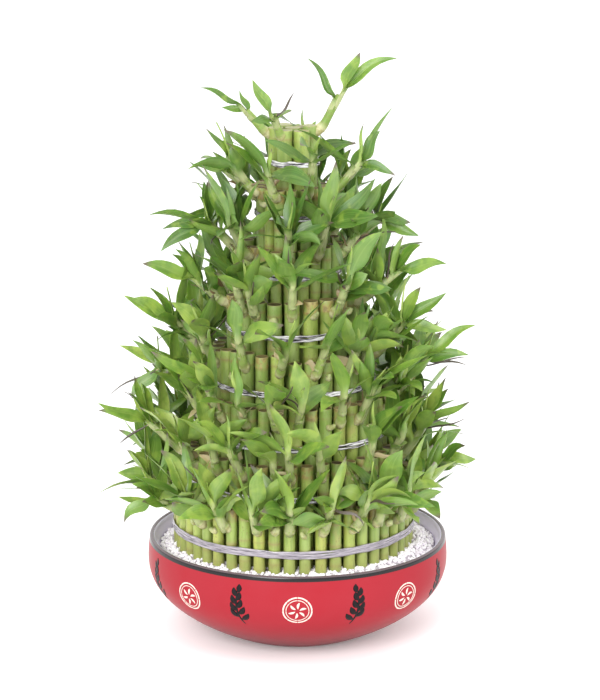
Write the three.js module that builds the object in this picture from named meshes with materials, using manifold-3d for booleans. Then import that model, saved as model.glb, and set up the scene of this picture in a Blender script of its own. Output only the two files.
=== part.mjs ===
// Lucky bamboo tower in a round glazed bowl, in millimetres, +Z up.
// The origin is the middle of the bowl's flat foot. The front of the plant faces -Y.
// Eight tiers of cut canes stand in rings round each other, each tier held by its own band.
// A cane, its side shoot and the leaves of the shoot grew as one, so they are fused in one solid.
import * as THREE from 'three';
import { mergeVertices } from 'three/addons/utils/BufferGeometryUtils.js';
import Module from 'manifold-3d';

const wasm = await Module();
wasm.setup();

// Bowl: a flat foot, a flank that sweeps out to the belly, and a rim drawn slightly in.
const BOWL_HEIGHT = 93;
const FOOT_RADIUS = 66;
const BELLY_RADIUS = 141.5;
const BELLY_HEIGHT = 72;
const RIM_RADIUS = 140;
const FLANK_POWER = 2.3;
const WALL = 5;
const LIP = 4;
const LIP_FLAT = 1.8;
const BOWL_SIDES = 36;
const OUTER_RINGS = [4, 11, 20, 30, 41, 55, BELLY_HEIGHT, 90];
const INNER_RINGS = [84, 40, 9];

// Gravel: white grit that fills the bowl round the foot of the tower.
const GRAVEL_TOP = 84;
const GRAVEL_CROWN = 2.5;
const GRIT_RELIEF = 2.6;
const RELIEF_RINGS = 3;
const BRIM_INSET = 0.2;
const BRIM_DROP = 1.5;
const CANE_FOOT = 42;

// Clear space between solids that touch on the real plant.
const GAP = 0.35;

// Tower: its axis stands a little left of the bowl's. Tier 1 is the tallest, in the middle.
const TOWER_X = -4;
const TIERS = [
  { canes: 7, bundles: 7, shoots: 4, diameter: 15.4, top: 480, node: 11, band: 448, bandSides: 12 },
  { canes: 16, bundles: 4, shoots: 8, diameter: 10.6, top: 427.5, node: 11, band: 401, bandSides: 16 },
  { canes: 21, bundles: 5, shoots: 10, diameter: 11, top: 374.5, node: 12, band: 348, bandSides: 18 },
  { canes: 21, bundles: 5, shoots: 12, diameter: 15, top: 325.5, node: 16, band: 295, bandSides: 20 },
  { canes: 29, bundles: 6, shoots: 15, diameter: 13.2, top: 277, node: 18, band: 244, bandSides: 20 },
  { canes: 37, bundles: 7, shoots: 19, diameter: 12.4, top: 232, node: 20, band: 197, bandSides: 22 },
  { canes: 43, bundles: 7, shoots: 22, diameter: 11.8, top: 184, node: 17, band: 153, bandSides: 24 },
  { canes: 48, bundles: 8, shoots: 24, diameter: 11.4, top: 141, node: 21, band: 105, bandSides: 24 },
];
const TIER_GAP = 0.5;
const TIER_TURN = 0.37;
const NECK = 0.9;
const TOP_SCATTER = 5;
const BAND_HEIGHT = 6.5;
const BAND_THICKNESS = 1;

// Shoots: a stem wrapped in leaf sheaths leaves the cane at the node under its cut top. How far
// under the top the node is, is set for each tier, and for all outline shoots by this value.
const OUTLINE_BELOW_TOP = 11;
const STEM_LENGTH = [28, 44];
const STEM_LEAN = 30;
const STEM_FIRST_RISE = [26, 54];
const STEM_LAST_RISE = [66, 88];
const STEM_HALF_WIDTH = 4;
const STEM_DEPTH = 6.8;
const STEM_LIFT = 0.4;
const STEM_ELBOW = 0.36;
const STEM_NECK = 0.98;
const NECK_SHARE = 0.62;

// Leaves: one goes on from the end of the stem and the others stand off to its two sides.
// Angles are in degrees, and places are shares of the stem's length.
const SIDE_LEAVES = 2;
const LEAF_LENGTH = [44, 66];
const LEAF_HALF_WIDTH = [7, 9.6];
const LEAF_THICKNESS = 1.8;
const LEAF_DROOP = [8, 66];
const LEAF_ROLL = 60;
const LEAF_SHRINK = 0.008;
const END_LEAF = { turn: [-50, 50], rise: [50, 86] };
const SIDE_LEAF = { turn: [30, 120], rise: [28, 76], place: [0.62, 0.94] };
const OUTLINE_ROLL = 55;
const OUTLINE_LEAF_STEP = 0.12;
const BUD = { rise: 80, length: 16, halfWidth: 1.6 };

// Clear space between the leaves, canes and stems of different bundles.
const LEAF_CLEAR = 3.4;
const TOWER_CLEAR = 3.2;
const RIM_CLEAR = 8;
const FUSED_SHARE = 0.45;
const STEM_FREE = 0.45;
const LEAF_FREE = 0.15;
const STEM_GUARD = 3.2;
const STEM_STEPS = 10;
const LEAF_STEPS = 12;
const LEAF_TRACKS = [-1, -0.5, 0, 0.5, 1];
const TRIES = 40;

// Numbers that give each kind of random draw a stream of its own.
const SEED = 20117;
const STREAM = { top: 1, cane: 2, stem: 3, leaf: 4, grit: 5 };

const DEGREE = Math.PI / 180;
const MERGE_DISTANCE = 1e-4;

// Colour and roughness of each material.
const GLAZE = { color: 0xd84f58, roughness: 0.3 };
const GRIT = { color: 0xe4e2e0, roughness: 0.9 };
const CANE = { color: 0x8fae4e, roughness: 0.5 };
const TAPE = { color: 0xcfcfd6, roughness: 0.2 };

// A seeded draw between 0 and 1 that depends only on its keys, so that each piece keeps its own shape.
function draw(...keys) {
  let state = SEED;
  for (const key of keys) {
    state = Math.imul(state ^ (key + 0x9e37), 0x85ebca6b);
    state ^= state >>> 13;
    state = Math.imul(state, 0xc2b2ae35);
    state ^= state >>> 16;
  }
  return (state >>> 0) / 2 ** 32;
}

// A seeded draw from low to high.
function between(low, high, ...keys) {
  return low + (high - low) * draw(...keys);
}

// The closed solid that a geometry bounds.
function solid(geometry) {
  const bare = geometry.clone();
  bare.deleteAttribute('normal');
  bare.deleteAttribute('uv');
  const merged = mergeVertices(bare, MERGE_DISTANCE);
  const mesh = new wasm.Mesh({
    numProp: 3,
    vertProperties: new Float32Array(merged.attributes.position.array),
    triVerts: new Uint32Array(merged.index.array),
  });
  return new wasm.Manifold(mesh);
}

// The geometry of a solid's faces, from the lowest up. A reader of the CAD file tells the inside of
// a solid from its first face, and the flat foot of the canes is a plain one.
function geometryOf(body) {
  const mesh = body.getMesh();
  const corners = (face) => mesh.triVerts.subarray(3 * face, 3 * face + 3);
  const height = (face) => Math.max(...Array.from(corners(face), (v) => mesh.vertProperties[3 * v + 2]));
  const faces = [...Array(mesh.numTri).keys()].sort((a, b) => height(a) - height(b));
  const geometry = new THREE.BufferGeometry();
  geometry.setAttribute('position', new THREE.BufferAttribute(mesh.vertProperties, 3));
  geometry.setIndex(faces.flatMap((face) => [...corners(face)]));
  geometry.computeVertexNormals();
  return geometry;
}

// A named mesh with its finish.
function piece(name, geometry, finish) {
  const material = new THREE.MeshStandardMaterial({ ...finish, metalness: 0, flatShading: true });
  const mesh = new THREE.Mesh(geometry, material);
  mesh.name = name;
  return mesh;
}

// The bowl's outer radius at height z.
function bowlRadius(z) {
  if (z < BELLY_HEIGHT) {
    const rise = 1 - z / BELLY_HEIGHT;
    return BELLY_RADIUS - (BELLY_RADIUS - FOOT_RADIUS) * rise ** FLANK_POWER;
  }
  const above = (z - BELLY_HEIGHT) / (BOWL_HEIGHT - BELLY_HEIGHT);
  return BELLY_RADIUS - (BELLY_RADIUS - RIM_RADIUS) * above ** 2;
}

// The point a distance inside the bowl's outer face, square to the face at height z.
function insideBowl(z, distance) {
  const step = 0.01;
  const slope = (bowlRadius(z + step) - bowlRadius(z - step)) / (2 * step);
  const length = Math.hypot(1, slope);
  return new THREE.Vector2(bowlRadius(z) - distance / length, z + (distance * slope) / length);
}

// A solid of revolution about Z from a profile that starts and ends on the axis.
function turned(profile) {
  const geometry = new THREE.LatheGeometry(profile, BOWL_SIDES);
  geometry.rotateX(Math.PI / 2);
  return geometry;
}

// The bowl: foot and flank outside, a rounded lip, and the inner face back down to a flat floor.
function bowlGeometry() {
  const lipMiddle = RIM_RADIUS - LIP / 2;
  const inside = INNER_RINGS.map((z) => insideBowl(z, WALL));
  const profile = [
    new THREE.Vector2(0, 0),
    new THREE.Vector2(FOOT_RADIUS, 0),
    ...OUTER_RINGS.map((z) => new THREE.Vector2(bowlRadius(z), z)),
    new THREE.Vector2(lipMiddle + LIP_FLAT / 2, BOWL_HEIGHT),
    new THREE.Vector2(lipMiddle - LIP_FLAT / 2, BOWL_HEIGHT),
    ...inside,
    new THREE.Vector2(0, inside.at(-1).y),
  ];
  return turned(profile);
}

// The gravel: a cup that follows the bowl's inner face, with a plain round well for the tower.
function gravelProfile(wellRadius) {
  const skin = WALL + GAP;
  const wall = INNER_RINGS.slice(1).reverse().map((z) => insideBowl(z, skin));
  const brim = new THREE.Vector2(bowlRadius(GRAVEL_TOP) - skin - BRIM_INSET, GRAVEL_TOP - BRIM_DROP);
  const relief = [];
  for (let ring = 1; ring <= RELIEF_RINGS; ring++) {
    const radius = brim.x - ((brim.x - wellRadius) * ring) / RELIEF_RINGS;
    const crown = (GRAVEL_CROWN * (ring - 1)) / (RELIEF_RINGS - 1);
    relief.push(new THREE.Vector2(radius, GRAVEL_TOP + crown));
  }
  return [
    new THREE.Vector2(0, wall[0].y),
    ...wall,
    brim,
    ...relief,
    new THREE.Vector2(wellRadius, CANE_FOOT - GAP),
    new THREE.Vector2(0, CANE_FOOT - GAP),
  ];
}

// The gravel's form. Grit stands up on its top as relief, and its rings shift step by step from the
// bowl's axis to the tower's, which the well is centred on.
function gravelGeometry(wellRadius) {
  const profile = gravelProfile(wellRadius);
  const wellFoot = profile.length - 2;
  const firstRelief = wellFoot - RELIEF_RINGS;
  const geometry = turned(profile);
  const position = geometry.attributes.position;
  for (let i = 0; i < position.count; i++) {
    const ring = i % profile.length;
    const side = Math.floor(i / profile.length) % BOWL_SIDES;
    if (ring < firstRelief || ring > wellFoot) continue;
    const inward = Math.min(1, (ring - firstRelief + 1) / RELIEF_RINGS);
    position.setX(i, position.getX(i) + TOWER_X * inward);
    if (ring === wellFoot) continue;
    position.setZ(i, position.getZ(i) + GRIT_RELIEF * (draw(STREAM.grit, ring, side) - 0.5));
  }
  return geometry;
}

// Where each tier stands: the radius of its cane centres, their pitch, the width of a cane across
// its corners, half the width of its flat side, and how far out the tier reaches.
function layOutTiers() {
  let inner = 0;
  TIERS.forEach((tier, index) => {
    const ring = index === 0 ? tier.canes - 1 : tier.canes;
    const half = tier.diameter / 2;
    tier.number = index + 1;
    tier.ring = ring;
    tier.radius = index === 0 ? tier.diameter + TIER_GAP : inner + TIER_GAP + half;
    tier.step = (2 * Math.PI) / ring;
    tier.pitch = 2 * tier.radius * Math.sin(tier.step / 2);
    tier.across = index === 0 ? (2 * tier.diameter) / Math.sqrt(3) : tier.pitch + NECK / 2;
    tier.flat = tier.across / 4;
    tier.phase = index * TIER_TURN;
    tier.reach = Math.hypot(tier.radius + half, tier.flat);
    inner = tier.reach;
  });
}

// The bundle that a cane of the ring belongs to.
function bundleOf(tier, cane) {
  if (tier.number === 1) return cane + 1;
  return Math.floor((cane * tier.bundles) / tier.ring);
}

// The canes of a bundle, by their places in the ring.
function canesOf(tier, bundle) {
  const canes = [...Array(tier.ring).keys()];
  return canes.filter((cane) => bundleOf(tier, cane) === bundle);
}

// The azimuth of a cane. The canes of a bundle stand a little closer together than an even
// ring would have them, which leaves a gap between one bundle and the next.
function caneAzimuth(tier, cane) {
  if (tier.number === 1) return tier.phase + tier.step * cane;
  const canes = canesOf(tier, bundleOf(tier, cane));
  const middle = (canes[0] + canes.at(-1)) / 2;
  const squeeze = 1 - (NECK / 2 + GAP * 2) / (canes.length * tier.pitch);
  return tier.phase + tier.step * (middle + (cane - middle) * squeeze);
}

// The height of a bundle's cut tops.
function topOf(tier, bundle) {
  return tier.top + TOP_SCATTER * (draw(STREAM.top, tier.number, bundle) - 0.5);
}

// The outline of a row of canes: six-sided canes, each with a flat to the outside, that meet their
// neighbours in a narrow neck. The two ends of the row are whole corners.
function rowOutline(tier, canes) {
  const half = tier.diameter / 2;
  const outer = [];
  const inner = [];
  canes.forEach((cane, i) => {
    const azimuth = caneAzimuth(tier, cane);
    const place = (out, along) =>
      new THREE.Vector2(tier.radius + out, along).rotateAround(new THREE.Vector2(), azimuth);
    if (i === 0) outer.push(place(0, -tier.across / 2));
    outer.push(place(half, -tier.flat), place(half, tier.flat));
    inner.push(place(-half, -tier.flat), place(-half, tier.flat));
    if (i === canes.length - 1) {
      outer.push(place(0, tier.across / 2));
      return;
    }
    const middle = (azimuth + caneAzimuth(tier, canes[i + 1])) / 2;
    const joint = tier.radius * Math.cos(tier.step / 2);
    outer.push(new THREE.Vector2(joint + NECK, 0).rotateAround(new THREE.Vector2(), middle));
    inner.push(new THREE.Vector2(joint - NECK, 0).rotateAround(new THREE.Vector2(), middle));
  });
  return new THREE.Shape([...outer, ...inner.reverse()]);
}

// The outline of a cane that stands by itself, with the same flat to the outside.
function caneOutline(tier, radius, azimuth) {
  const corners = [];
  for (let corner = 0; corner < 6; corner++) {
    const turn = (corner + 0.5) * (Math.PI / 3);
    const reach = tier.across / 2;
    const point = new THREE.Vector2(radius + reach * Math.cos(turn), reach * Math.sin(turn));
    corners.push(point.rotateAround(new THREE.Vector2(), azimuth));
  }
  return new THREE.Shape(corners);
}

// Canes raised from their outline, from their feet in the gravel to their cut tops.
function caneSolid(outline, top) {
  const prism = new THREE.ExtrudeGeometry(outline, { depth: top - CANE_FOOT, bevelEnabled: false });
  prism.translate(0, 0, CANE_FOOT);
  return solid(prism);
}

// The unit vector at an azimuth and an elevation, in radians.
function direction(azimuth, elevation) {
  const flat = Math.cos(elevation);
  return new THREE.Vector3(flat * Math.cos(azimuth), flat * Math.sin(azimuth), Math.sin(elevation));
}

// A curve that leaves its start at one elevation and ends at another, in one upright plane.
function arc(start, azimuth, length, firstElevation, lastElevation) {
  const middle = start.clone().addScaledVector(direction(azimuth, firstElevation), length / 2);
  const end = middle.clone().addScaledVector(direction(azimuth, lastElevation), length / 2);
  return new THREE.QuadraticBezierCurve3(start, middle, end);
}

// The frame at a place on a curve: its point, the level direction across it, and the one square to both.
function frameAt(curve, t, azimuth, roll) {
  const along = curve.getTangent(t);
  const across = new THREE.Vector3(-Math.sin(azimuth), Math.cos(azimuth), 0);
  across.applyAxisAngle(along, roll);
  return { point: curve.getPoint(t), across, above: new THREE.Vector3().crossVectors(along, across) };
}

// A closed body from a point at its root through three-cornered sections to a point at its tip.
// A section has two upper edges and a keel under them.
function loft(root, sections, tip) {
  const vertices = [root];
  for (const { point, across, above, halfWidth, depth } of sections) {
    vertices.push(point.clone().addScaledVector(across, halfWidth));
    vertices.push(point.clone().addScaledVector(across, -halfWidth));
    vertices.push(point.clone().addScaledVector(above, -depth));
  }
  vertices.push(tip);
  const last = vertices.length - 1;
  const faces = [];
  for (let side = 0; side < 3; side++) {
    const next = (side + 1) % 3;
    faces.push(0, 1 + next, 1 + side);
    for (let ring = 1; ring < last - 3; ring += 3) {
      const a = ring + side;
      const b = ring + next;
      faces.push(a, b, b + 3, a, b + 3, a + 3);
    }
    faces.push(last - 3 + side, last - 3 + next, last);
  }
  const geometry = new THREE.BufferGeometry().setFromPoints(vertices);
  geometry.setIndex(faces);
  return solid(geometry);
}

// The form of a leaf blade along its length: share of the half width, and depth of the keel.
const BLADE = [
  { at: 0.34, wide: 1, deep: 1 },
  { at: 0.7, wide: 0.72, deep: 0.8 },
];

// A leaf as a curve with its widths, from its place on the stem to its tip.
function leafFrom(start, azimuth, spec) {
  const curve = arc(start, azimuth, spec.length, spec.rise, spec.rise - spec.droop);
  return { curve, azimuth, roll: spec.roll, halfWidth: spec.halfWidth };
}

// The sections of a leaf blade.
function bladeSections(leaf) {
  return BLADE.map(({ at, wide, deep }) => ({
    ...frameAt(leaf.curve, at, leaf.azimuth, leaf.roll),
    halfWidth: leaf.halfWidth * wide,
    depth: LEAF_THICKNESS * deep,
  }));
}

// The share of a leaf's half width that is kept clear at t. It swells from the root and tapers off
// to the tip, a little wider than the blade.
function guardShare(t) {
  return Math.min(1, 0.4 + 1.8 * t, 2.4 * (1 - t));
}

// Points on a leaf that stand for it in the clearance test: one on each track at each step along it.
function leafSamples(leaf) {
  const samples = [];
  for (let step = 1; step <= LEAF_STEPS; step++) {
    const t = step / LEAF_STEPS;
    const { point, across } = frameAt(leaf.curve, t, leaf.azimuth, leaf.roll);
    const half = leaf.halfWidth * guardShare(t);
    for (const side of LEAF_TRACKS) {
      samples.push({ point: point.clone().addScaledVector(across, half * side), radius: 0, t });
    }
  }
  return samples;
}

// Points along a stem, each with the stem's thickness round it.
function stemSamples(stem) {
  const samples = [];
  for (let step = 2; step <= STEM_STEPS; step++) {
    const t = step / STEM_STEPS;
    samples.push({ point: stem.curve.getPoint(t), radius: STEM_GUARD, t });
  }
  return samples;
}

// How far the tower reaches out from its axis at height z.
function towerReach(z) {
  let reach = 0;
  for (const tier of TIERS) {
    if (z < tier.top + TOP_SCATTER / 2 + TOWER_CLEAR) reach = tier.reach;
  }
  return reach;
}

// Whether samples clear the tower, the bowl's rim and everything placed so far.
// The leaves of one shoot may meet near the stem, where they are fused, and part further out.
function isClear(samples, owner, placed) {
  for (const { point, radius, t } of samples) {
    if (point.z < BOWL_HEIGHT + RIM_CLEAR) return false;
    if (Math.hypot(point.x, point.y) < towerReach(point.z) + TOWER_CLEAR + radius) return false;
    for (const other of placed) {
      if (other.owner === owner && (other.radius > 0 || Math.min(t, other.t) < FUSED_SHARE)) continue;
      if (other.point.distanceTo(point) < LEAF_CLEAR + radius + other.radius) return false;
    }
  }
  return true;
}

// Keeps samples for the tests that follow.
function keep(samples, owner, placed) {
  for (const sample of samples) placed.push({ ...sample, owner });
}

// Shoots that give the plant its outline, set by eye: the tier and azimuth they grow at, the stem's
// length with its first and last rise, and each leaf's azimuth, rise, droop, length and half width.
// Angles are in degrees. The first leaf goes on from the stem's end.
const OUTLINE_SHOOTS = [
  {
    tier: 1, azimuth: -4, stem: [47, 42, 72],
    leaves: [[-4, 74, 8, 40, 7.5], [-2, 60, 60, 72, 6.5], [176, 72, 34, 50, 5]],
  },
  {
    tier: 1, azimuth: 184, stem: [36, 32, 58],
    leaves: [[180, 34, 14, 44, 3.8], [172, 16, 30, 24, 4], [196, 72, 20, 26, 4.4]],
  },
  {
    tier: 1, azimuth: 236, stem: [25, 42, 68],
    leaves: [[188, 62, 10, 38, 7.5], [300, 34, 30, 27, 7.5], [226, 30, 40, 34, 6]],
  },
  {
    tier: 1, azimuth: 100, stem: [18, 8, 24],
    leaves: [[100, -4, 40, 32, 6], [50, 2, 40, 30, 5], [150, 4, 40, 30, 5]],
  },
  {
    tier: 2, azimuth: -10, stem: [45, 32, 60],
    leaves: [[-4, 60, 20, 35, 7.8], [-14, 26, 70, 46, 5.5], [50, 60, 30, 38, 7]],
  },
  {
    tier: 2, azimuth: 190, stem: [43, 36, 64],
    leaves: [[184, 68, 30, 40, 3.6], [206, 44, 40, 44, 7], [164, 74, 20, 32, 7]],
  },
  {
    tier: 2, azimuth: 43, stem: [30, 10, 34],
    leaves: [[30, 24, 30, 42, 7.6], [70, 20, 30, 44, 7], [0, 44, 40, 40, 7]],
  },
  {
    tier: 2, azimuth: 168, stem: [34, 14, 42],
    leaves: [[172, 34, 40, 38, 7], [140, 34, 40, 44, 7], [204, 60, 30, 36, 7]],
  },
  {
    tier: 3, azimuth: -8, stem: [44, 26, 54],
    leaves: [[-4, 20, 30, 34, 6.5], [-34, 74, 20, 40, 8], [40, 70, 24, 36, 7]],
  },
  {
    tier: 3, azimuth: 186, stem: [46, 28, 52],
    leaves: [[182, 14, 34, 46, 6.5], [200, 84, 14, 44, 8], [150, 64, 30, 40, 7]],
  },
  {
    tier: 4, azimuth: -6, stem: [50, 26, 48],
    leaves: [[-2, 22, 32, 48, 8], [-30, 64, 26, 48, 8], [36, 56, 26, 46, 7]],
  },
  {
    tier: 4, azimuth: 190, stem: [38, 24, 50],
    leaves: [[186, 28, 22, 54, 8.4], [214, 70, 20, 50, 7.5], [160, 60, 30, 46, 7]],
  },
  {
    tier: 5, azimuth: 184, stem: [50, 28, 52],
    leaves: [[179, 46, 30, 44, 7], [206, 66, 26, 50, 8], [152, 56, 36, 44, 7]],
  },
  {
    tier: 5, azimuth: -6, stem: [42, 30, 62],
    leaves: [[-2, 74, 14, 42, 7.8], [-30, 50, 30, 46, 7.6], [30, 58, 30, 44, 7]],
  },
  {
    tier: 6, azimuth: -4, stem: [56, 35, 62],
    leaves: [[0, 48, 22, 60, 6.6], [-10, 36, 40, 52, 6.4], [34, 66, 30, 44, 7]],
  },
  {
    tier: 6, azimuth: 182, stem: [50, 30, 54],
    leaves: [[178, 44, 28, 46, 6], [206, 66, 26, 50, 7.6], [150, 56, 36, 44, 7]],
  },
  {
    tier: 7, azimuth: 186, stem: [50, 30, 52],
    leaves: [[181, 20, 22, 50, 6.8], [206, 80, 16, 44, 7.4], [160, 66, 30, 42, 7]],
  },
  {
    tier: 7, azimuth: -6, stem: [42, 34, 66],
    leaves: [[-2, 60, 24, 34, 6.6], [-30, 74, 24, 42, 7.6], [24, 6, 36, 48, 3.4]],
  },
  {
    tier: 8, azimuth: -6, stem: [42, 32, 64],
    leaves: [[-2, 28, 26, 36, 7], [-28, 60, 34, 42, 7.6], [-60, 4, 50, 40, 7]],
  },
  {
    tier: 8, azimuth: 186, stem: [36, 24, 60],
    leaves: [[182, 24, 36, 32, 7], [208, 70, 36, 42, 7.4], [156, 60, 40, 38, 7]],
  },
  {
    tier: 8, azimuth: 204, stem: [34, 10, 38],
    leaves: [[196, -2, 58, 42, 7.4], [230, 56, 46, 44, 7.4], [186, 60, 40, 40, 6.6]],
  },
  {
    tier: 8, azimuth: 108, stem: [32, 30, 60],
    leaves: [[100, 54, 30, 46, 7.4], [140, 40, 40, 42, 7], [72, 58, 30, 42, 7]],
  },
];

// The canes of a tier's ring that carry its shoots, spread evenly with a seeded shift.
function shootCanes(tier) {
  const step = tier.ring / tier.shoots;
  const canes = [];
  for (let i = 0; i < tier.shoots; i++) {
    canes.push(Math.floor(i * step + (step - 1) * draw(STREAM.cane, tier.number, i)));
  }
  return canes;
}

// The outline shoot that a cane carries, if its azimuth is the nearest one to it.
function outlineShoot(tier, canes, cane) {
  const turn = (azimuth) => Math.abs(Math.atan2(Math.sin(azimuth), Math.cos(azimuth)));
  return OUTLINE_SHOOTS.find((shoot) => {
    if (shoot.tier !== tier.number) return false;
    const away = canes.map((c) => turn(caneAzimuth(tier, c) - shoot.azimuth * DEGREE));
    return canes[away.indexOf(Math.min(...away))] === cane;
  });
}

// A shoot's stem, with seeded lean and length unless the outline sets them.
function planStem(tier, cane, outline, attempt) {
  const keys = [STREAM.stem, tier.number, cane, attempt];
  const azimuth = outline
    ? outline.azimuth * DEGREE
    : caneAzimuth(tier, cane) + between(-STEM_LEAN, STEM_LEAN, ...keys, 1) * DEGREE;
  const [length, first, last] = outline
    ? outline.stem
    : [STEM_LENGTH, STEM_FIRST_RISE, STEM_LAST_RISE].map((range, i) => between(...range, ...keys, i + 2));
  const height = topOf(tier, bundleOf(tier, cane)) - (outline ? OUTLINE_BELOW_TOP : tier.node);
  const start = direction(caneAzimuth(tier, cane), 0).multiplyScalar(tier.radius);
  start.z = height;
  const curve = arc(start, azimuth, length + tier.diameter / 2, first * DEGREE, last * DEGREE);
  return { curve, azimuth };
}

// One leaf of a shoot: the last goes on from the stem's end, and the others stand off to its sides.
function planLeaf(tier, cane, stem, order, outline, attempt) {
  if (outline) {
    const [azimuth, rise, droop, length, halfWidth] = outline.leaves[order];
    const roll = OUTLINE_ROLL * DEGREE * Math.cos(azimuth * DEGREE);
    const spec = { rise: rise * DEGREE, droop: droop * DEGREE, length, halfWidth, roll };
    return leafFrom(stemPoint(stem, STEM_NECK - OUTLINE_LEAF_STEP * order), azimuth * DEGREE, spec);
  }
  const keys = [STREAM.leaf, tier.number, cane, order, attempt];
  const range = order ? SIDE_LEAF : END_LEAF;
  const side = order === 2 ? -1 : 1;
  const turn = side * between(...range.turn, ...keys, 1);
  const spec = {
    rise: between(...range.rise, ...keys, 2) * DEGREE,
    droop: between(...LEAF_DROOP, ...keys, 3) * DEGREE,
    length: between(...LEAF_LENGTH, ...keys, 4) * (1 - LEAF_SHRINK * attempt),
    halfWidth: between(...LEAF_HALF_WIDTH, ...keys, 5),
    roll: between(-LEAF_ROLL, LEAF_ROLL, ...keys, 6) * DEGREE,
  };
  const place = order ? between(...SIDE_LEAF.place, ...keys, 7) : STEM_NECK;
  return leafFrom(stemPoint(stem, place), stem.azimuth + turn * DEGREE, spec);
}

// The point in the middle of a stem at a place past its elbow, from which it runs straight.
function stemPoint(stem, t) {
  const share = (t - STEM_ELBOW) / (STEM_NECK - STEM_ELBOW);
  return stem.curve.getPoint(STEM_ELBOW).lerp(stem.curve.getPoint(STEM_NECK), share);
}

// A section of a stem, lifted so that the stem's curve runs through its middle.
function stemSection(stem, t, share) {
  const frame = frameAt(stem.curve, t, stem.azimuth, 0);
  const depth = STEM_DEPTH * share;
  frame.point.addScaledVector(frame.above, depth * STEM_LIFT);
  return { ...frame, halfWidth: STEM_HALF_WIDTH * share, depth };
}

// The stem and the leaf that ends it, as one tapered body from inside the cane to the leaf's tip.
function stemSolid(stem, endLeaf) {
  const stout = [stemSection(stem, STEM_ELBOW, 1), stemSection(stem, STEM_NECK, NECK_SHARE)];
  return loft(stem.curve.getPoint(0), [...stout, ...bladeSections(endLeaf)], endLeaf.curve.getPoint(1));
}

// A side leaf, rooted in the middle of the stem that it leaves.
function leafSolid(leaf) {
  return loft(leaf.curve.getPoint(0), bladeSections(leaf), leaf.curve.getPoint(1));
}

// Plans the first clear stem that the seeded tries give for a cane.
function clearStem(tier, cane, outline, owner, placed) {
  for (let attempt = 0; attempt < TRIES; attempt++) {
    const stem = planStem(tier, cane, outline, attempt);
    const samples = stemSamples(stem).filter(({ t }) => t > STEM_FREE);
    if (isClear(samples, owner, placed)) {
      keep(stemSamples(stem), owner, placed);
      return stem;
    }
    if (outline) return stem;
  }
  return null;
}

// Plans the first clear leaf that the seeded tries give, or none where the space is full.
function clearLeaf(tier, cane, stem, order, outline, owner, placed) {
  for (let attempt = 0; attempt < TRIES; attempt++) {
    const leaf = planLeaf(tier, cane, stem, order, attempt === 0 ? outline : undefined, attempt);
    const samples = leafSamples(leaf).filter(({ t }) => t > LEAF_FREE);
    if (isClear(samples, owner, placed)) {
      keep(leafSamples(leaf), owner, placed);
      return leaf;
    }
  }
  return null;
}

// Every shoot of the plant with its stem and leaves, each clear of the others.
// Outline shoots are planned first, then all stems, and the leaves last, in turn.
function planShoots() {
  const placed = [];
  const shoots = [];
  for (const tier of TIERS) {
    const canes = shootCanes(tier);
    for (const cane of canes) {
      shoots.push({ tier, cane, outline: outlineShoot(tier, canes, cane), owner: shoots.length });
    }
  }
  shoots.sort((a, b) => Number(Boolean(b.outline)) - Number(Boolean(a.outline)));
  for (const shoot of shoots) {
    shoot.stem = clearStem(shoot.tier, shoot.cane, shoot.outline, shoot.owner, placed);
    shoot.leaves = [];
  }
  const growing = shoots.filter((shoot) => shoot.stem);
  for (let order = 0; order <= SIDE_LEAVES; order++) {
    for (const { tier, cane, stem, outline, owner, leaves } of growing) {
      const leaf = clearLeaf(tier, cane, stem, order, outline, owner, placed);
      if (leaf) leaves.push({ ...leaf, order });
    }
  }
  return growing;
}

// The solids of one shoot: the stem with its end leaf, and its side leaves.
function shootSolids({ stem, leaves }) {
  const endLeaf = leaves.find(({ order }) => order === 0) ?? budLeaf(stem);
  const sideLeaves = leaves.filter(({ order }) => order > 0);
  return [
    stemSolid(stem, endLeaf),
    ...sideLeaves.map(leafSolid),
  ];
}

// A short rolled leaf for a stem whose end has no room for an open one.
function budLeaf(stem) {
  const spec = { ...BUD, rise: BUD.rise * DEGREE, droop: 0, roll: 0 };
  return leafFrom(stemPoint(stem, STEM_NECK), stem.azimuth, spec);
}

// The outline of a bundle's canes. The canes of tier 1 stand one by one, the first in the middle.
function bundleOutline(tier, bundle) {
  if (tier.number > 1) return rowOutline(tier, canesOf(tier, bundle));
  if (bundle === 0) return caneOutline(tier, 0, tier.phase);
  return caneOutline(tier, tier.radius, caneAzimuth(tier, bundle - 1));
}

// One bundle of neighbouring canes with the shoots that grew from them.
function bundleMesh(tier, bundle, shoots) {
  const top = topOf(tier, bundle);
  const parts = [caneSolid(bundleOutline(tier, bundle), top)];
  for (const shoot of shoots) {
    if (shoot.tier === tier && bundleOf(tier, shoot.cane) === bundle) parts.push(...shootSolids(shoot));
  }
  const body = parts.reduce((sum, part) => sum.add(part));
  const kind = tier.number === 1 ? 'cane' : 'canes';
  return piece(`tier_${tier.number}_${kind}_${bundle + 1}`, geometryOf(body), CANE);
}

// The band of a tier: a flat tape closed in a ring round its canes, just clear of them.
function bandMesh(tier) {
  const turn = Math.PI / tier.bandSides;
  const inner = (tier.reach + GAP) / Math.cos(turn);
  const outer = inner + BAND_THICKNESS;
  const low = tier.band - BAND_HEIGHT / 2;
  const high = tier.band + BAND_HEIGHT / 2;
  const profile = [[inner, low], [outer, low], [outer, high], [inner, high], [inner, low]];
  const geometry = new THREE.LatheGeometry(profile.map((p) => new THREE.Vector2(...p)), tier.bandSides);
  geometry.rotateX(Math.PI / 2);
  return piece(`band_tier_${tier.number}`, geometry, TAPE);
}

// The tower: every bundle of canes and every band, about the tower's own axis.
function tower() {
  const group = new THREE.Group();
  const shoots = planShoots();
  group.position.x = TOWER_X;
  for (const tier of TIERS) {
    for (let bundle = 0; bundle < tier.bundles; bundle++) {
      group.add(bundleMesh(tier, bundle, shoots));
    }
    group.add(bandMesh(tier));
  }
  return group;
}

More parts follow.
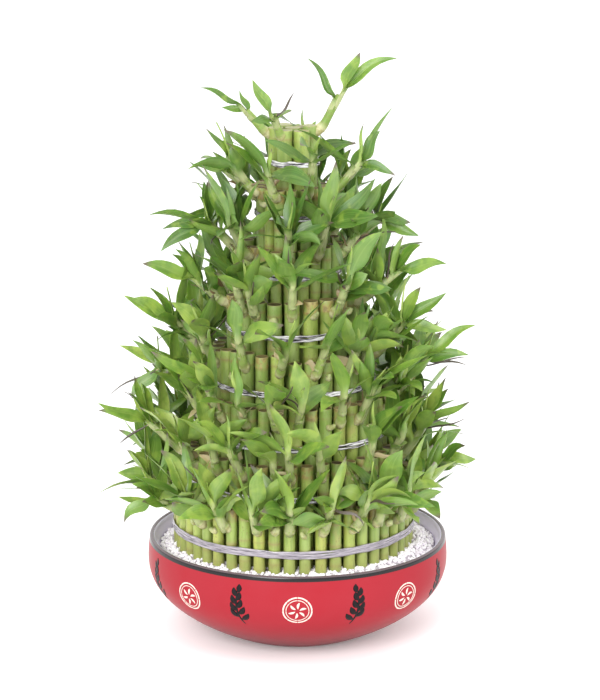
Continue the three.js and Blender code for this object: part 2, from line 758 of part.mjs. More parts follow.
layOutTiers();
const wellRadius = (TIERS.at(-1).reach + GAP) / Math.cos(Math.PI / BOWL_SIDES);

const luckyBamboo = new THREE.Group();
luckyBamboo.add(piece('bowl', bowlGeometry(), GLAZE));
luckyBamboo.add(piece('gravel', gravelGeometry(wellRadius), GRIT));
luckyBamboo.add(tower());

export default luckyBamboo;
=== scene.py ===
# %% [markdown]
# Lucky bamboo in a glazed bowl. The plant is a tower of cut canes in eight tiers. Each tier is held
# by a band of clear tape, and a leafy shoot grows from the node under the top of many canes.
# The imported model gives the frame: the pieces here stand where its nodes stand, and replace them
# with round canes, sheathed shoots, arched leaves, loose grit and a fine glazed bowl.

# %% Load the frame
import math
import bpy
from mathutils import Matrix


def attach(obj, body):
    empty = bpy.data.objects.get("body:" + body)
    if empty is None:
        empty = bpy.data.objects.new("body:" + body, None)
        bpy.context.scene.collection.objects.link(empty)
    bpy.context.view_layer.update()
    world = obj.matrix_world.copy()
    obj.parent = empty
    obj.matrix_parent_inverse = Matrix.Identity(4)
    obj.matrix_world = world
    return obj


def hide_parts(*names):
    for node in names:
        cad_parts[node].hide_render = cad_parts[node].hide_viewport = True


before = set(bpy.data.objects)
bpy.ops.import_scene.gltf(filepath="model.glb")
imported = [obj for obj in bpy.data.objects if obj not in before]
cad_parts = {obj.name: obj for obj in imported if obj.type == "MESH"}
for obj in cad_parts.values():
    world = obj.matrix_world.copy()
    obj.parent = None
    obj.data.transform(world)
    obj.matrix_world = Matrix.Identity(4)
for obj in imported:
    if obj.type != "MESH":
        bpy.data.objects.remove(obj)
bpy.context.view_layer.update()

from types import SimpleNamespace

import bpy
import numpy as np

NODES = sorted(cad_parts)

# %% [markdown]
# Lengths below are in millimetres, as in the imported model, and a mesh is scaled to metres when it
# is made. Colours are written as sRGB hex values, because that is how a colour is read off a
# swatch, and one function turns them into the linear values that Blender's shaders expect.

# %% Units and colours
MM = 0.001
DEGREE = math.pi / 180


def linear(hex_colour, alpha=1.0):
    """sRGB hex to linear RGBA: c / 12.92 up to 0.04045, and ((c + 0.055) / 1.055) ** 2.4 above it."""
    parts = [int(hex_colour[i:i + 2], 16) / 255 for i in (1, 3, 5)]
    return tuple(c / 12.92 if c <= 0.04045 else ((c + 0.055) / 1.055) ** 2.4 for c in parts) + (alpha,)


def smooth(value):
    """The S curve 3v^2 - 2v^3 of a value held between 0 and 1."""
    held = np.clip(value, 0, 1)
    return held * held * (3 - 2 * held)


# %% [markdown]
# Every surface here is a grid of points: rows along the piece and columns round it. The faces of a
# grid follow from its size alone, so one function numbers them for any piece. Many bodies of the
# same grid, such as all leaves of a tier, are worked out in one array and joined in one mesh. Most
# bodies are closed at both ends by a fan of triangles to a point in the middle.

# %% Meshes from grids
NO_QUADS = np.zeros((0, 4), int)
NO_TRIANGLES = np.zeros((0, 3), int)


def even_angles(count):
    """So many angles evenly round a circle."""
    return 2 * np.pi * np.arange(count) / count


def ring_quads(rows, columns, close_rows=False):
    """Quads of a grid whose columns close on themselves. They face outwards where the columns run
    anticlockwise about the direction of the rows."""
    last = rows if close_rows else rows - 1
    row, column = np.meshgrid(np.arange(last), np.arange(columns), indexing="ij")
    above = (row + 1) % rows
    beside = (column + 1) % columns
    here, next_ = row * columns, above * columns
    return np.stack([here + column, here + beside, next_ + beside, next_ + column], -1).reshape(-1, 4)


def fan(start, columns, middle):
    """Triangles from the point in the middle to the row of columns that is numbered from start."""
    column = np.arange(columns)
    return np.stack([np.full(columns, middle), start + column, start + (column + 1) % columns], -1)


def make_mesh(name, points, quads, triangles, attributes):
    """A smooth mesh object from points in millimetres, with float attributes on its points."""
    mesh = bpy.data.meshes.new(name)
    corners = np.concatenate([quads.ravel(), triangles.ravel()]).astype(np.int32)
    sizes = np.concatenate([np.full(len(quads), 4), np.full(len(triangles), 3)])
    starts = np.concatenate([[0], np.cumsum(sizes)[:-1]]).astype(np.int32)
    mesh.vertices.add(len(points))
    mesh.vertices.foreach_set("co", (points * MM).astype(np.float32).ravel())
    mesh.loops.add(len(corners))
    mesh.loops.foreach_set("vertex_index", corners)
    mesh.polygons.add(len(starts))
    mesh.polygons.foreach_set("loop_start", starts)
    mesh.update(calc_edges=True)
    mesh.shade_smooth()
    for key, values in attributes.items():
        layer = mesh.attributes.new(key, "FLOAT", "POINT")
        layer.data.foreach_set("value", np.asarray(values, np.float32).ravel())
    piece = bpy.data.objects.new(name, mesh)
    bpy.context.scene.collection.objects.link(piece)
    print(f"{name}: {len(quads) * 2 + len(triangles)} triangles")
    return piece


def join_bodies(name, points, extra, like, triangles, attributes):
    """One mesh of bodies (body, row, column, xyz) with extra points (body, point, xyz) and the
    triangles that reach them. An extra point has the attributes of the grid point given in like."""
    bodies, rows, columns = points.shape[:3]
    every = np.concatenate([points.reshape(bodies, -1, 3), extra], 1)
    shift = (np.arange(bodies) * every.shape[1])[:, None, None]
    quads = (ring_quads(rows, columns)[None] + shift).reshape(-1, 4)
    spread = {}
    for key, values in attributes.items():
        grid = np.broadcast_to(values, (bodies, rows, columns)).reshape(bodies, -1)
        spread[key] = np.concatenate([grid, grid[:, like]], 1)
    return make_mesh(name, every.reshape(-1, 3), quads, (triangles[None] + shift).reshape(-1, 3), spread)


def closed_bodies(name, points, attributes, ends=None):
    """Bodies closed at their first and last rows by fans. The end points are the middles of those
    rows unless they are given as (body, 2, xyz)."""
    if ends is None:
        ends = np.stack([points[:, 0].mean(1), points[:, -1].mean(1)], 1)
    rows, columns = points.shape[1:3]
    size = rows * columns
    foot = fan(0, columns, size)[:, [0, 2, 1]]
    head = fan(size - columns, columns, size + 1)
    return join_bodies(name, points, ends, [0, -1], np.concatenate([foot, head]), attributes)


# %% [markdown]
# The camera comes first, because every later choice is judged through it. The photograph looks
# down on the plant a little from well in front of it, through a long lens that keeps its upright
# lines nearly parallel. Its place and lens were fitted to the bowl's rim and foot and the bands.

# %% Camera
CAMERA_PLACE = (0.00231, -2.499, 0.8805)
CAMERA_PITCH = 13.74
LENS = 141.6
SENSOR = 36


def make_camera():
    """A camera that looks along +Y and down by its pitch, with its sensor's height as the measure."""
    data = bpy.data.cameras.new("camera")
    data.lens = LENS
    data.sensor_fit = "VERTICAL"
    data.sensor_height = SENSOR
    data.clip_end = 100
    camera = bpy.data.objects.new("camera", data)
    camera.location = CAMERA_PLACE
    camera.rotation_euler = (math.pi / 2 - CAMERA_PITCH * DEGREE, 0, 0)
    bpy.context.scene.collection.objects.link(camera)
    bpy.context.scene.camera = camera


make_camera()
bpy.context.scene.view_settings.view_transform = "Standard"
print("camera at", CAMERA_PLACE, "lens", LENS)

# %% [markdown]
# A material is a small network of nodes. One function adds a node, sets it up and joins its inputs.
# A surface is then built up as a painter would: a ground colour first, and further colours laid over
# it where a pattern or a mark on the mesh is strong. That step and the few patterns that repeat are
# functions too. Values that are the same all over a surface stay on the shader.

# %% Nodes for materials
def add(tree, kind, inputs=None, stops=(), **settings):
    """A new node with its settings. An input is joined to a socket or set to a plain value, and a
    colour ramp gets its stops as (place, hex colour)."""
    node = tree.nodes.new(kind)
    for key, value in settings.items():
        setattr(node, key, value)
    for key, value in (inputs or {}).items():
        if isinstance(value, bpy.types.NodeSocket):
            tree.links.new(value, node.inputs[key])
        else:
            node.inputs[key].default_value = value
    elements = node.color_ramp.elements if stops else ()
    while len(elements) < len(stops):
        elements.new(1.0)
    for element, (place, colour) in zip(elements, stops):
        element.position = place
        element.color = linear(colour)
    return node


def new_material(name, **constants):
    """A material with one Principled shader, and the constants set on the shader's sockets."""
    material = bpy.data.materials.new(name)
    material.use_nodes = True
    tree = material.node_tree
    tree.nodes.clear()
    shader = add(tree, "ShaderNodeBsdfPrincipled", {k.replace("_", " "): v for k, v in constants.items()})
    add(tree, "ShaderNodeOutputMaterial", {"Surface": shader.outputs["BSDF"]})
    return material, tree, shader


def patches(tree, size_mm, stretch=(1, 1, 1), detail=3):
    """A pattern of patches about size_mm across, fixed to the piece and stretched along an axis."""
    place = add(tree, "ShaderNodeTexCoord").outputs["Object"]
    scale = tuple(1 / (s * size_mm * MM) for s in stretch)
    mapped = add(tree, "ShaderNodeMapping", {"Vector": place, "Scale": scale}).outputs["Vector"]
    inputs = {"Vector": mapped, "Scale": 1, "Detail": detail}
    return add(tree, "ShaderNodeTexNoise", inputs).outputs["Fac"]


def height_of(tree):
    """The height of a point above the table, in metres."""
    place = add(tree, "ShaderNodeTexCoord").outputs["Object"]
    return add(tree, "ShaderNodeSeparateXYZ", {"Vector": place}).outputs["Z"]


def lay_over(tree, below, colour, mask, limits, shares=(0, 1)):
    """One colour laid over another. Its share goes smoothly from the first of the shares to the
    last while the mask goes from the first of the limits to the last."""
    low, high = limits
    thin, thick = shares
    inputs = {"Value": mask, "From Min": low, "From Max": high, "To Min": thin, "To Max": thick}
    amount = add(tree, "ShaderNodeMapRange", inputs, interpolation_type="SMOOTHSTEP").outputs["Result"]
    above = linear(colour) if isinstance(colour, str) else colour
    return add(tree, "ShaderNodeMix", {0: amount, 6: below, 7: above}, data_type="RGBA").outputs[2]


def colour_shader(tree, shader, colour, relief=None, depth_mm=0):
    """Gives a shader its colour, and bump from a pattern whose full range stands for depth_mm."""
    tree.links.new(colour, shader.inputs["Base Color"])
    if relief:
        inputs = {"Height": relief, "Distance": depth_mm * MM, "Strength": 1}
        bump = add(tree, "ShaderNodeBump", inputs)
        tree.links.new(bump.outputs["Normal"], shader.inputs["Normal"])


# %% [markdown]
# The tower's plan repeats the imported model's driving sizes, because the canes, shoots and leaves
# are to stand where its solids stand. Tier 1 is the tallest, in the middle, and each further tier
# is a ring of shorter canes round it.

# %% Tiers of the tower
TOWER_X = -4
TIER_GAP = 0.5
TIER_TURN = 0.37
NECK = 0.9
GAP = 0.35
TOP_SCATTER = 5
CANE_FOOT = 42
BOWL_HEIGHT = 93
TIER_SIZES = (
    dict(canes=7, bundles=7, shoots=4, diameter=15.4, top=480, node=11, band=448),
    dict(canes=16, bundles=4, shoots=8, diameter=10.6, top=427.5, node=11, band=401),
    dict(canes=21, bundles=5, shoots=10, diameter=11, top=374.5, node=12, band=348),
    dict(canes=21, bundles=5, shoots=12, diameter=15, top=325.5, node=16, band=295),
    dict(canes=29, bundles=6, shoots=15, diameter=13.2, top=277, node=18, band=244),
    dict(canes=37, bundles=7, shoots=19, diameter=12.4, top=232, node=20, band=197),
    dict(canes=43, bundles=7, shoots=22, diameter=11.8, top=184, node=17, band=153),
    dict(canes=48, bundles=8, shoots=24, diameter=11.4, top=141, node=21, band=105),
)

# %% [markdown]
# Chance has to fall the same way on each run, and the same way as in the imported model. So a draw is
# worked out from whole-number keys, such as the tier and the cane, by mixing their bits. Small
# differences that only this scene has come from numpy's seeded generators.

# %% Seeded draws
SEED = 20117
STREAM = {"top": 1, "cane": 2, "stem": 3, "leaf": 4, "young": 6}
PIECE_SEED = {"canes": 1000, "stems": 2000, "leaves": 3000, "tape": 4000, "buds": 5000, "bed": 5001,
              "chips": 5002}


def draw(*keys):
    """A seeded draw between 0 and 1 from whole-number keys, mixed in 32-bit arithmetic."""
    state = SEED
    for key in keys:
        state = ((state ^ (key + 0x9E37)) * 0x85EBCA6B) & 0xFFFFFFFF
        state ^= state >> 13
        state = (state * 0xC2B2AE35) & 0xFFFFFFFF
        state ^= state >> 16
    return state / 2**32


def between(limits, *keys):
    """A seeded draw between two limits."""
    low, high = limits
    return low + (high - low) * draw(*keys)


def random_for(pieces, number=0):
    """A seeded generator for the small differences between pieces of one kind on one tier."""
    return np.random.default_rng(PIECE_SEED[pieces] + number)


# %% [markdown]
# Each ring lies close round the one inside it, so its radius follows from that one's reach. The
# canes of a bundle stand a little closer than an even ring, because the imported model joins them.

# %% Rings of canes
def lay_out_tiers():
    """Each tier's ring: the radius of its cane centres, their pitch, and how far out it reaches."""
    tiers = []
    inner = 0
    for index, sizes in enumerate(TIER_SIZES):
        tier = SimpleNamespace(number=index + 1, **sizes)
        tier.ring = tier.canes - 1 if index == 0 else tier.canes
        half = tier.diameter / 2
        tier.radius = tier.diameter + TIER_GAP if index == 0 else inner + TIER_GAP + half
        tier.step = 2 * math.pi / tier.ring
        tier.pitch = 2 * tier.radius * math.sin(tier.step / 2)
        across = 2 * tier.diameter / math.sqrt(3) if index == 0 else tier.pitch + NECK / 2
        tier.phase = index * TIER_TURN
        tier.reach = math.hypot(tier.radius + half, across / 4)
        inner = tier.reach
        tiers.append(tier)
    return tiers


def bundle_of(tier, cane):
    """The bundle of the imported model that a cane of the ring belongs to."""
    return cane + 1 if tier.number == 1 else cane * tier.bundles // tier.ring


def cane_azimuth(tier, cane):
    """A cane's azimuth in radians. The canes of a bundle stand a little closer than an even ring."""
    if tier.number == 1:
        return tier.phase + tier.step * cane
    canes = [c for c in range(tier.ring) if bundle_of(tier, c) == bundle_of(tier, cane)]
    middle = (canes[0] + canes[-1]) / 2
    squeeze = 1 - (NECK / 2 + GAP * 2) / (len(canes) * tier.pitch)
    return tier.phase + tier.step * (middle + (cane - middle) * squeeze)


def top_of(tier, bundle):
    """The height of a bundle's cut tops."""
    return tier.top + TOP_SCATTER * (draw(STREAM["top"], tier.number, bundle) - 0.5)


TIERS = lay_out_tiers()
for tier in TIERS:
    tier.nodes = [n for n in NODES if n.startswith(f"tier_{tier.number}_")]
    print(f"tier {tier.number}: {tier.canes} canes at radius {tier.radius:.1f}, {len(tier.nodes)} nodes")


# %% [markdown]
# A shoot is a stem that leaves its cane at the node under the cut top, bends upwards and ends in a
# fan of leaves. Stems and leaves are quadratic curves in an upright plane. The planner draws a
# shoot at random, tests it against the canes, the rim and everything placed before it, and draws
# again where they meet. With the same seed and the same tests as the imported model, it comes to the
# same shoots.

# %% Curves of stems and leaves
PLANNED_LEAVES = 3
STEM_LENGTH = (28, 44)
STEM_LEAN = 30
STEM_RISES = ((26, 54), (66, 88))
STEM_ELBOW = 0.36
STEM_NECK = 0.98
OUTLINE_BELOW_TOP = 11
LEAF_LENGTH = (44, 66)
LEAF_HALF_WIDTH = (7, 9.6)
LEAF_DROOP = (8, 66)
LEAF_ROLL = 60
LEAF_SHRINK = 0.008
END_LEAF = dict(turn=(-50, 50), rise=(50, 86))
SIDE_LEAF = dict(turn=(30, 120), rise=(28, 76), place=(0.62, 0.94))
OUTLINE_ROLL = 55
OUTLINE_LEAF_STEP = 0.12


def direction(azimuth, elevation):
    """The unit vector at an azimuth and an elevation in radians."""
    flat = math.cos(elevation)
    return np.array([flat * math.cos(azimuth), flat * math.sin(azimuth), math.sin(elevation)])


def arc(start, azimuth, length, first_rise, last_rise):
    """Three control points of a curve that leaves at one rise and ends at another."""
    middle = start + direction(azimuth, first_rise) * length / 2
    return np.array([start, middle, middle + direction(azimuth, last_rise) * length / 2])


def on_curve(curve, t):
    """Points (1-t)^2 a + 2t(1-t) b + t^2 c of a quadratic curve with control points a, b and c."""
    t = np.asarray(t, float)[..., None]
    a, b, c = np.moveaxis(curve, -2, 0)
    return (1 - t) ** 2 * a + 2 * t * (1 - t) * b + t**2 * c


def unit(vectors):
    """Vectors scaled to length 1."""
    return vectors / np.linalg.norm(vectors, axis=-1, keepdims=True)


def curve_frame(curve, t, azimuth, roll):
    """Tangent, level direction across and upper side of a curve, with the last two rolled about
    the tangent. across = level cos(roll) + (tangent x level) sin(roll)."""
    t = np.asarray(t, float)[..., None]
    a, b, c = np.moveaxis(curve, -2, 0)
    along = unit((1 - t) * (b - a) + t * (c - b))
    level = np.stack([-np.sin(azimuth), np.cos(azimuth), np.zeros_like(azimuth)], -1)
    level = np.broadcast_to(level, along.shape)
    roll = np.asarray(roll, float)[..., None]
    across = level * np.cos(roll) + np.cross(along, level) * np.sin(roll)
    return along, across, np.cross(along, across)


# %% [markdown]
# What the eye takes for the plant's shape is the row of leaves against the background. Those leaves
# can't be left to chance, so the shoots at the outline are set from the photograph, with their
# stems and their leaves. Each goes to the cane that stands nearest to its azimuth.

# %% Shoots that give the plant its outline
# Tier and azimuth of a shoot, its stem's length, first and last rise, and for each leaf its
# azimuth, rise, droop, length and half width. Angles are in degrees, and the first leaf ends the stem.
OUTLINE_SHOOTS = (
    (1, -4, (47, 42, 72), ((-4, 74, 8, 40, 7.5), (-2, 60, 60, 72, 6.5), (176, 72, 34, 50, 5))),
    (1, 184, (36, 32, 58), ((180, 34, 14, 44, 3.8), (172, 16, 30, 24, 4), (196, 72, 20, 26, 4.4))),
    (1, 236, (25, 42, 68), ((188, 62, 10, 38, 7.5), (300, 34, 30, 27, 7.5), (226, 30, 40, 34, 6))),
    (1, 100, (18, 8, 24), ((100, -4, 40, 32, 6), (50, 2, 40, 30, 5), (150, 4, 40, 30, 5))),
    (2, -10, (45, 32, 60), ((-4, 60, 20, 35, 7.8), (-14, 26, 70, 46, 5.5), (50, 60, 30, 38, 7))),
    (2, 190, (43, 36, 64), ((184, 68, 30, 40, 3.6), (206, 44, 40, 44, 7), (164, 74, 20, 32, 7))),
    (2, 43, (30, 10, 34), ((30, 24, 30, 42, 7.6), (70, 20, 30, 44, 7), (0, 44, 40, 40, 7))),
    (2, 168, (34, 14, 42), ((172, 34, 40, 38, 7), (140, 34, 40, 44, 7), (204, 60, 30, 36, 7))),
    (3, -8, (44, 26, 54), ((-4, 20, 30, 34, 6.5), (-34, 74, 20, 40, 8), (40, 70, 24, 36, 7))),
    (3, 186, (46, 28, 52), ((182, 14, 34, 46, 6.5), (200, 84, 14, 44, 8), (150, 64, 30, 40, 7))),
    (4, -6, (50, 26, 48), ((-2, 22, 32, 48, 8), (-30, 64, 26, 48, 8), (36, 56, 26, 46, 7))),
    (4, 190, (38, 24, 50), ((186, 28, 22, 54, 8.4), (214, 70, 20, 50, 7.5), (160, 60, 30, 46, 7))),
    (5, 184, (50, 28, 52), ((179, 46, 30, 44, 7), (206, 66, 26, 50, 8), (152, 56, 36, 44, 7))),
    (5, -6, (42, 30, 62), ((-2, 74, 14, 42, 7.8), (-30, 50, 30, 46, 7.6), (30, 58, 30, 44, 7))),
    (6, -4, (56, 35, 62), ((0, 48, 22, 60, 6.6), (-10, 36, 40, 52, 6.4), (34, 66, 30, 44, 7))),
    (6, 182, (50, 30, 54), ((178, 44, 28, 46, 6), (206, 66, 26, 50, 7.6), (150, 56, 36, 44, 7))),
    (7, 186, (50, 30, 52), ((181, 20, 22, 50, 6.8), (206, 80, 16, 44, 7.4), (160, 66, 30, 42, 7))),
    (7, -6, (42, 34, 66), ((-2, 60, 24, 34, 6.6), (-30, 74, 24, 42, 7.6), (24, 6, 36, 48, 3.4))),
    (8, -6, (42, 32, 64), ((-2, 28, 26, 36, 7), (-28, 60, 34, 42, 7.6), (-60, 4, 50, 40, 7))),
    (8, 186, (36, 24, 60), ((182, 24, 36, 32, 7), (208, 70, 36, 42, 7.4), (156, 60, 40, 38, 7))),
    (8, 204, (34, 10, 38), ((196, -2, 58, 42, 7.4), (230, 56, 46, 44, 7.4), (186, 60, 40, 40, 6.6))),
    (8, 108, (32, 30, 60), ((100, 54, 30, 46, 7.4), (140, 40, 40, 42, 7), (72, 58, 30, 42, 7))),
)


def shoot_canes(tier):
    """The canes of a ring that carry its shoots, spread evenly with a seeded shift."""
    step = tier.ring / tier.shoots
    shift = [draw(STREAM["cane"], tier.number, i) for i in range(tier.shoots)]
    return [math.floor(i * step + (step - 1) * shift[i]) for i in range(tier.shoots)]


def outline_of(tier, canes):
    """The outline shoot of each cane: every outline shoot goes to the cane nearest to its azimuth."""
    found = {}
    for shoot in OUTLINE_SHOOTS:
        if shoot[0] != tier.number:
            continue
        away = [cane_azimuth(tier, cane) - shoot[1] * DEGREE for cane in canes]
        turns = [abs(math.atan2(math.sin(a), math.cos(a))) for a in away]
        found.setdefault(canes[turns.index(min(turns))], shoot)
    return found


# %% [markdown]
# The test for clear space works on sample points: five tracks along each leaf and one down each
# stem. Only samples near the tested leaf can meet it, so a box is tried first, and distances are
# measured for what lies in that box alone.

# %% Clearance test
LEAF_CLEAR = 3.4
TOWER_CLEAR = 3.2
RIM_CLEAR = 8
FUSED_SHARE = 0.45
STEM_FREE = 0.45
LEAF_FREE = 0.15
STEM_GUARD = 3.2
TRIES = 40
FAR_AWAY = 1e9
SAMPLE_ROOM = 120000
ROOT_SHARE = 0.4
OPENING = 1.8
CLOSING = 2.4
LEAF_STEPS = np.arange(1, 13) / 12
LEAF_TRACKS = np.array([-1, -0.5, 0, 0.5, 1])
STEM_STEPS = np.arange(2, 11) / 10


class Placed:
    """Samples of all that has been placed: their points, guard radii, places along, and owners."""

    def __init__(self, room):
        self.points = np.full((room, 3), FAR_AWAY)
        self.radius = np.zeros(room)
        self.t = np.zeros(room)
        self.owner = np.full(room, -1)
        self.count = 0

    def keep(self, points, radius, t, owner):
        """Adds samples of one owner."""
        place = slice(self.count, self.count + len(points))
        self.points[place] = points
        self.radius[place] = radius
        self.t[place] = t
        self.owner[place] = owner
        self.count += len(points)

    def meets(self, points, radius, t, owner, clear):
        """Whether samples come closer than the clear space to any that was kept. The leaves of one
        shoot may meet near the stem."""
        reach = clear + radius + STEM_GUARD
        known = self.points[:self.count]
        near = ((known > points.min(0) - reach) & (known < points.max(0) + reach)).all(1).nonzero()[0]
        if not len(near):
            return False
        apart = np.linalg.norm(points[:, None] - known[near][None], axis=2)
        close = apart < clear + radius + self.radius[near][None]
        own = self.owner[near] == owner
        fused = np.minimum(t[:, None], self.t[near][None]) < FUSED_SHARE
        allowed = own[None] & ((self.radius[near] > 0)[None] | fused)
        return bool((close & ~allowed).any())


def tower_reach(z):
    """How far the tower reaches out from its axis at each height."""
    reach = np.zeros_like(z)
    for tier in TIERS:
        reach = np.where(z < tier.top + TOP_SCATTER / 2 + TOWER_CLEAR, tier.reach, reach)
    return reach


def hits_tower(points, radius, clear=TOWER_CLEAR):
    """Whether samples come too near to the tower or to the bowl's rim."""
    if (points[:, 2] < BOWL_HEIGHT + RIM_CLEAR).any():
        return True
    out = np.hypot(points[:, 0], points[:, 1])
    return bool((out < tower_reach(points[:, 2]) + clear + radius).any())


def leaf_samples(leaf):
    """Points on five tracks along a leaf, as wide apart as the blade is there, and their places."""
    _, across, _ = curve_frame(leaf.curve, LEAF_STEPS, leaf.azimuth, leaf.roll)
    share = np.minimum(ROOT_SHARE + OPENING * LEAF_STEPS, CLOSING * (1 - LEAF_STEPS))
    half = leaf.half_width * np.minimum(1, share)
    side = (half[:, None] * LEAF_TRACKS)[..., None]
    points = on_curve(leaf.curve, LEAF_STEPS)[:, None] + across[:, None] * side
    return points.reshape(-1, 3), np.repeat(LEAF_STEPS, len(LEAF_TRACKS))


# %% [markdown]
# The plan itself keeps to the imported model's order, because each shoot is tested against all that
# stands before it: outline shoots first, then the other stems, then the leaves, one a shoot in turn.
# A stem or leaf that finds no clear place in forty tries is left out.

# %% Plan of the shoots
def plan_stem(tier, cane, outline, attempt):
    """A stem from the cane's axis, with seeded lean, length and rises unless the outline sets them."""
    keys = (STREAM["stem"], tier.number, cane, attempt)
    base = cane_azimuth(tier, cane)
    lean = between((-STEM_LEAN, STEM_LEAN), *keys, 1) * DEGREE
    azimuth = outline[1] * DEGREE if outline else base + lean
    drawn = [between(limits, *keys, i + 2) for i, limits in enumerate((STEM_LENGTH, *STEM_RISES))]
    length, first, last = outline[2] if outline else drawn
    start = direction(base, 0) * tier.radius
    start[2] = top_of(tier, bundle_of(tier, cane)) - (OUTLINE_BELOW_TOP if outline else tier.node)
    curve = arc(start, azimuth, length + tier.diameter / 2, first * DEGREE, last * DEGREE)
    return SimpleNamespace(curve=curve, azimuth=azimuth)


def stem_point(stem, t):
    """The middle of a stem at a place past its elbow, from which it runs straight to its neck."""
    elbow, neck = on_curve(stem.curve, [STEM_ELBOW, STEM_NECK])
    return elbow + (neck - elbow) * (t - STEM_ELBOW) / (STEM_NECK - STEM_ELBOW)


def leaf_from(stem, place, azimuth, rise, droop, length, half_width, roll, order):
    """A leaf that leaves its stem at a place, rises and then droops, with its angles in degrees."""
    start = stem_point(stem, place)
    curve = arc(start, azimuth, length, rise * DEGREE, (rise - droop) * DEGREE)
    return SimpleNamespace(curve=curve, azimuth=azimuth, roll=roll * DEGREE, half_width=half_width,
                           length=length, place=place, order=order)


def plan_leaf(tier, cane, stem, order, outline, attempt):
    """One leaf of a shoot: the first goes on from the stem's end, the others stand off to its sides."""
    if outline:
        turn, rise, droop, length, half_width = outline[3][order]
        roll = OUTLINE_ROLL * math.cos(turn * DEGREE)
        place = STEM_NECK - OUTLINE_LEAF_STEP * order
        return leaf_from(stem, place, turn * DEGREE, rise, droop, length, half_width, roll, order)
    keys = (STREAM["leaf"], tier.number, cane, order, attempt)
    kind = SIDE_LEAF if order else END_LEAF
    turn = (-1 if order == 2 else 1) * between(kind["turn"], *keys, 1)
    azimuth = stem.azimuth + turn * DEGREE
    rise = between(kind["rise"], *keys, 2)
    droop = between(LEAF_DROOP, *keys, 3)
    length = between(LEAF_LENGTH, *keys, 4) * (1 - LEAF_SHRINK * attempt)
    half_width = between(LEAF_HALF_WIDTH, *keys, 5)
    roll = between((-LEAF_ROLL, LEAF_ROLL), *keys, 6)
    place = between(kind["place"], *keys, 7) if order else STEM_NECK
    return leaf_from(stem, place, azimuth, rise, droop, length, half_width, roll, order)


def clear_stem(shoot, placed):
    """The first stem of the seeded tries that is clear. An outline stem is taken as it is."""
    for attempt in range(TRIES):
        stem = plan_stem(shoot.tier, shoot.cane, shoot.outline, attempt)
        free = STEM_STEPS[STEM_STEPS > STEM_FREE]
        points = on_curve(stem.curve, free)
        if not hits_tower(points, STEM_GUARD) and not placed.meets(
            points, STEM_GUARD, free, shoot.owner, LEAF_CLEAR
        ):
            placed.keep(on_curve(stem.curve, STEM_STEPS), STEM_GUARD, STEM_STEPS, shoot.owner)
            return stem
        if shoot.outline:
            return stem
    return None


def is_clear(leaf, owner, placed, clear=LEAF_CLEAR, tower=TOWER_CLEAR):
    """Keeps a leaf's samples and says so, if the blade past its root is clear."""
    points, t = leaf_samples(leaf)
    free = t > LEAF_FREE
    if hits_tower(points[free], 0, tower) or placed.meets(points[free], 0, t[free], owner, clear):
        return False
    placed.keep(points, 0, t, owner)
    return True


def plan_shoots():
    """Every shoot with its stem and leaves. Outline shoots come first, then all stems, then leaves."""
    placed = Placed(SAMPLE_ROOM)
    shoots = []
    for tier in TIERS:
        canes = shoot_canes(tier)
        outlines = outline_of(tier, canes)
        for cane in canes:
            shoots.append(SimpleNamespace(
                tier=tier, cane=cane, outline=outlines.get(cane), owner=len(shoots), leaves=[]))
    shoots.sort(key=lambda shoot: shoot.outline is None)
    for shoot in shoots:
        shoot.stem = clear_stem(shoot, placed)
    growing = [shoot for shoot in shoots if shoot.stem]
    for order in range(PLANNED_LEAVES):
        for shoot in growing:
            for attempt in range(TRIES):
                outline = shoot.outline if attempt == 0 else None
                leaf = plan_leaf(shoot.tier, shoot.cane, shoot.stem, order, outline, attempt)
                if is_clear(leaf, shoot.owner, placed):
                    shoot.leaves.append(leaf)
                    break
    return growing, placed


SHOOTS, PLACED = plan_shoots()
print(len(SHOOTS), "shoots with", sum(len(shoot.leaves) for shoot in SHOOTS), "leaves of the packed model")

# %% [markdown]
# The imported model gives a shoot at most three leaves. A real shoot has more: younger leaves between
# them, a rolled spear in the middle, and now and then a dry thread that was once a leaf. Short
# papery husks of old sheaths stand off its lower part, and the lowest tier has low leaves over the
# gravel. Younger and low leaves are drawn the same way with a smaller clear space, and left out
# where the space is full. Spears, threads and husks are so thin that they aren't tested. The younger
# leaves and threads that show at the plant's outline are listed one by one, as its shoots are.

# %% Younger leaves, spears, threads and husks
FIRST_YOUNG = PLANNED_LEAVES
YOUNG_COUNT = 4
YOUNG_TRIES = 24
YOUNG_CLEAR = 1.2
YOUNG_TOWER_CLEAR = 1.2
YOUNG_LEAF = dict(turn=(15, 170), rise=(26, 88), droop=(-10, 80), length=(32, 72),
                  half_width=(3.6, 8.8), roll=(-75, 75), place=(0.46, 0.96))
LOW_LEAF = dict(turn=(10, 150), rise=(0, 60), droop=(0, 60), length=(34, 52),
                half_width=(7, 9.8), roll=(-60, 60), place=(0.4, 0.62))
LOW_COUNT = 2
FIRST_LOW = 8
SPEAR = dict(turn=(-40, 40), rise=(66, 86), droop=(-6, 14), length=(24, 44),
             half_width=(1.6, 2.6), roll=(-40, 40), place=(0.9, 0.98))
THREAD = dict(turn=(-100, 100), rise=(0, 70), droop=(-40, 90), length=(30, 56),
              half_width=(1, 1.7), roll=(-60, 60), place=(0.6, 0.95))
THREAD_SHARE = 0.4
HUSK = dict(turn=(-170, 170), rise=(10, 80), droop=(-70, 90), length=(10, 22),
            half_width=(2, 4.2), roll=(-80, 80), place=(0.36, 0.62))
HUSK_COUNT = 2
HUSK_SHARE = 0.7
# Tier and azimuth of the outline shoot, then the thread's azimuth, rise, droop and length.
OUTLINE_THREADS = (
    (1, 236, -6, 34, -20, 32),
    (6, 182, 184, -8, 32, 58),
    (7, 186, 192, -12, 26, 40),
    (6, -4, -8, 10, 30, 46),
)
